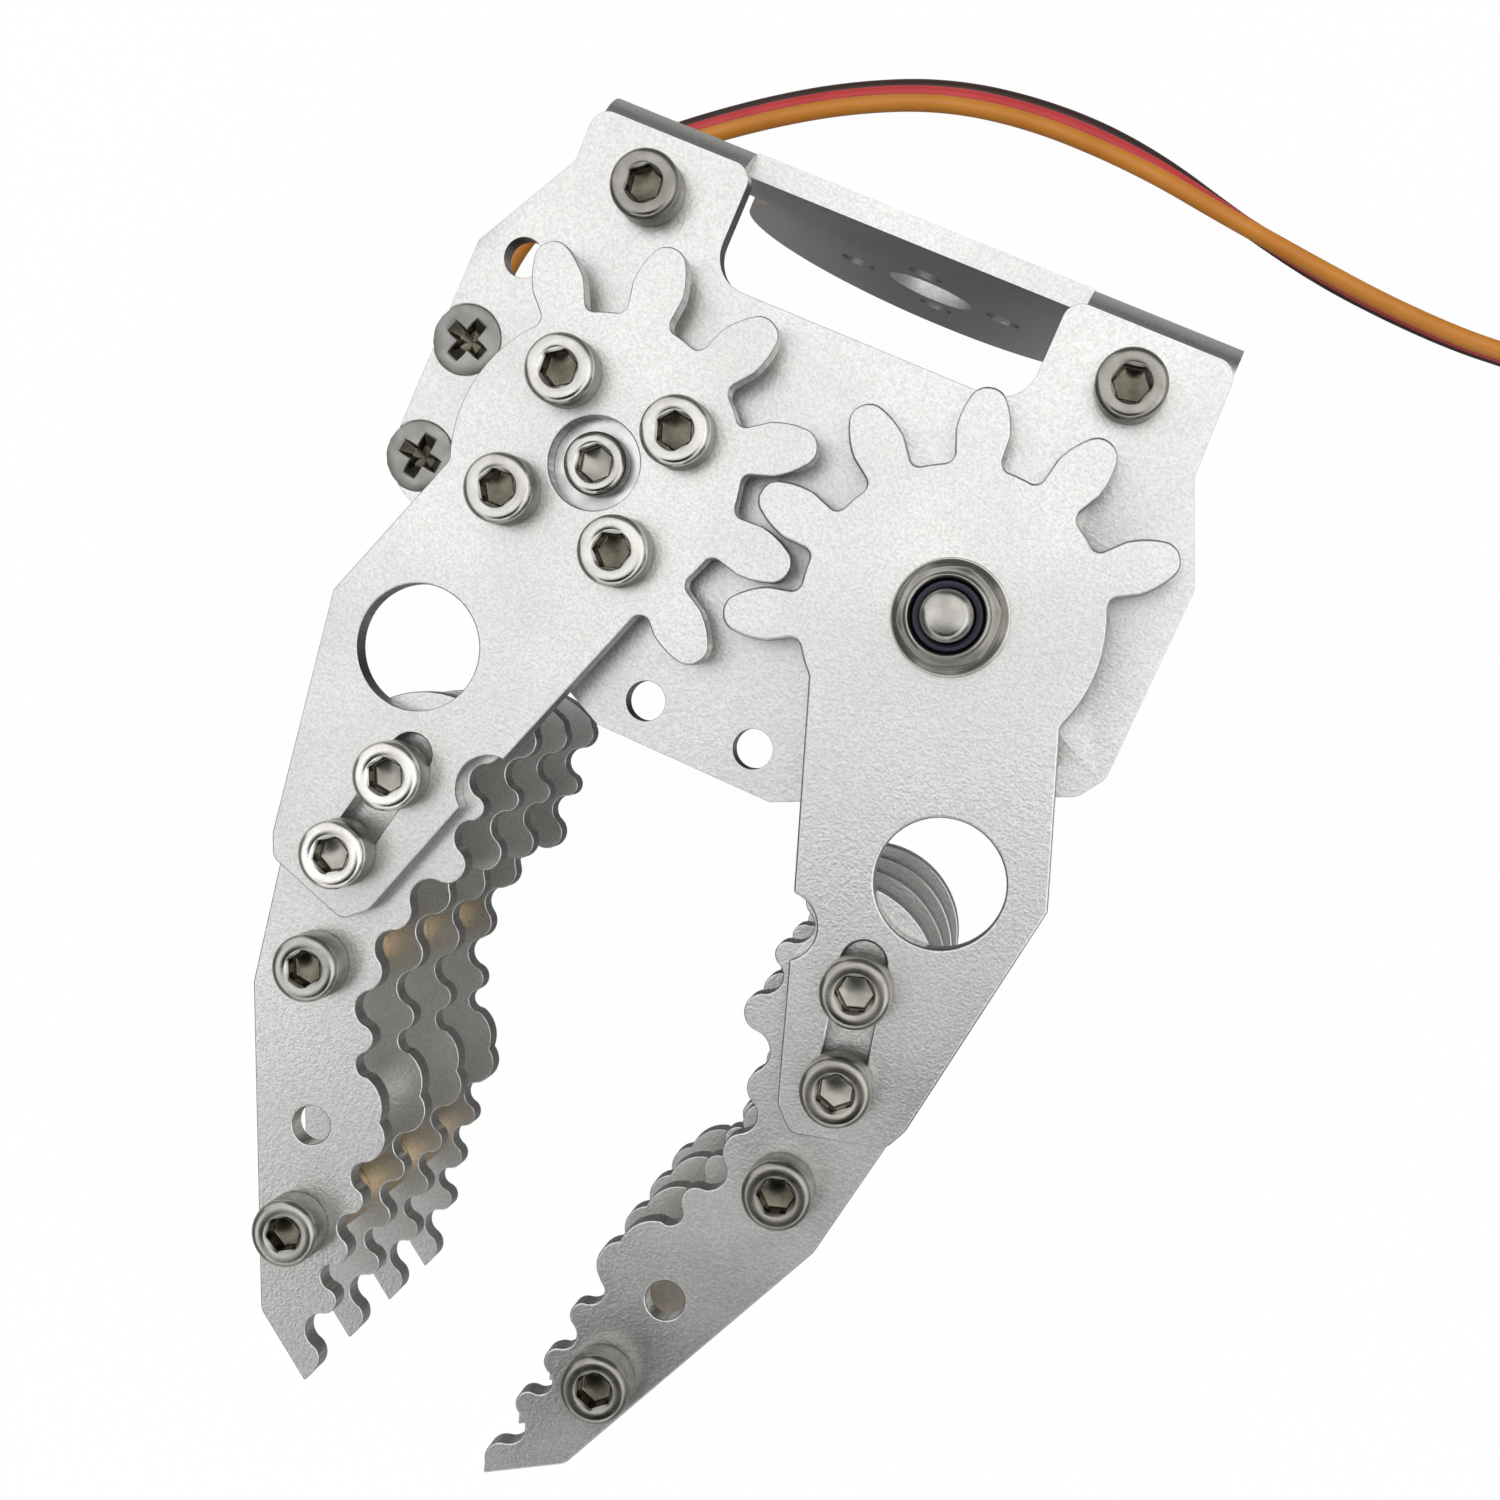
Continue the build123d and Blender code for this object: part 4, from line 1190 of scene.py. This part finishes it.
@dataclass
class Studio:
    """Camera at the photograph's angle, pale floor, even world light and soft lamps."""

    eye: Triple = (23.65, -28.12, 169.52)
    target: Triple = (5.05, -43.13, 27.0)
    roll: float = 23.44
    lens: float = 45.26
    sensor: float = 36.0
    floor_size: float = 6.0
    floor_colour: Triple = (0.45, 0.45, 0.445)
    floor_white: float = 0.95
    floor_glow: float = 1.03
    horizon: float = 0.14
    overhead: float = 1.37
    zenith: Triple = (0.15, -0.10, 0.984)
    zenith_reach: tuple[float, float] = (0.42, 0.93)
    shade_towards: Triple = (0.106, -0.442, 0.884)
    shade_reach: tuple[float, float] = (0.908, 0.950)
    shade_depth: float = 1.0
    lit_point: Triple = (0.0, -0.05, 0.02)
    lamps: tuple[Lamp, ...] = (
        Lamp("key", (-1.00, 0.35, 0.65), 1.1, 3.2),
        Lamp("fill", (0.75, 0.35, 0.45), 1.1, 2.2),
        Lamp("front", (0.10, -0.95, 0.40), 0.9, 1.3),
    )

    def camera(self) -> None:
        """Places the camera: it looks from eye to target with +Y up, then turns by roll."""
        data = bpy.data.cameras.new("view")
        data.lens = self.lens
        data.sensor_width = self.sensor
        data.clip_start = 0.005
        data.clip_end = 50.0
        camera = linked("view", data)
        back = (Vector(self.eye) - Vector(self.target)).normalized()
        right = Vector((0, 1, 0)).cross(back).normalized()
        axes = Matrix((right, back.cross(right), back)).transposed().to_4x4()
        turned = axes @ Matrix.Rotation(math.radians(self.roll), 4, "Z")
        camera.matrix_world = Matrix.Translation(Vector(self.eye) * MM) @ turned
        bpy.context.scene.camera = camera

    def floor(self) -> None:
        """A pale floor that takes the object's shadow and shows white to the camera."""
        half, z = self.floor_size / 2, (FLOOR_Z - 0.02) * MM
        corners = [(-half, -half, z), (half, -half, z), (half, half, z), (-half, half, z)]
        mesh = bpy.data.meshes.new("floor")
        mesh.from_pydata(corners, [], [(0, 1, 2, 3)])
        floor = linked("floor", mesh)
        paint = Paint("pale_floor")
        paint.shader.inputs["Base Color"].default_value = (*self.floor_colour, 1)
        paint.shader.inputs["Roughness"].default_value = 0.9
        glow = paint.add("Emission", {"Color": (1, 1, 1, 1), "Strength": self.floor_glow})
        rays = paint.add("LightPath").outputs
        seen = paint.math("MAXIMUM", rays["Is Camera Ray"], rays["Is Transmission Ray"])
        share = paint.math("MULTIPLY", seen, self.floor_white)
        lit = paint.shader.outputs["BSDF"]
        both = paint.add("MixShader", {0: share, 1: lit, 2: glow.outputs[0]})
        paint.feed(paint.output.inputs["Surface"], both.outputs[0])
        mesh.materials.append(paint.material)

    def world(self) -> None:
        """White where the camera looks past the floor, and a soft sky for everything else.

        The sky is bright overhead and dim at the horizon, with one dim patch above the fingers,
        where whoever holds the camera stands.
        """
        world = bpy.data.worlds.new("studio")
        bpy.context.scene.world = world
        tree = Tree(world)
        place = tree.add("TexCoord").outputs["Generated"]
        shares = []
        for direction, limits, results in (
            (self.zenith, self.zenith_reach, (self.horizon, self.overhead)),
            (self.shade_towards, self.shade_reach, (1.0, 1 - self.shade_depth)),
        ):
            along = tree.add("VectorMath", {0: place, 1: direction}, operation="DOT_PRODUCT")
            inputs = dict(enumerate((along.outputs["Value"], *limits, *results)))
            eased = tree.add("MapRange", inputs, interpolation_type="SMOOTHSTEP")
            shares.append(eased.outputs[0])
        white = {"Color": (1, 1, 1, 1)}
        sky = tree.add("Background", white | {"Strength": tree.math("MULTIPLY", *shares)})
        plain = tree.add("Background", white)
        seen = tree.add("LightPath").outputs["Is Camera Ray"]
        mixed = tree.add("MixShader", {0: seen, 1: sky.outputs[0], 2: plain.outputs[0]})
        tree.add("OutputWorld", {0: mixed.outputs[0]})

    def light(self, lamp: Lamp) -> None:
        """Stands a lamp in its place, turned to the gripper's middle.

        Args:
            lamp: the lamp.
        """
        data = bpy.data.lights.new(lamp.name, "AREA")
        data.shape = "SQUARE"
        data.size = lamp.size
        data.energy = lamp.watts
        aim = Vector(self.lit_point) - Vector(lamp.place)
        turned = aim.to_track_quat("-Z", "Y").to_matrix().to_4x4()
        linked(lamp.name, data).matrix_world = Matrix.Translation(lamp.place) @ turned

    def build(self) -> None:
        """Sets up the camera, the floor and the light."""
        self.camera()
        self.floor()
        self.world()
        for lamp in self.lamps:
            self.light(lamp)
        bpy.context.scene.view_settings.view_transform = "Standard"


def main() -> None:
    """Loads the frame, then builds the studio, the lead and every sub-assembly in order."""
    logging.basicConfig(level=logging.INFO, format="%(name)s: %(message)s")
    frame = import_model()
    Studio().build()
    finishes = Finishes()
    makers = [
        ServoLead(frame, finishes),
        Plates(frame, finishes),
        Hardware(finishes),
        PivotStack(frame, finishes),
        Servo(frame, finishes),
    ]
    for maker in makers:
        for piece in maker.build():
            log.info("%s: %s, %d faces", type(maker).__name__, piece.name, len(piece.data.polygons))


if __name__ == "__main__":
    main()
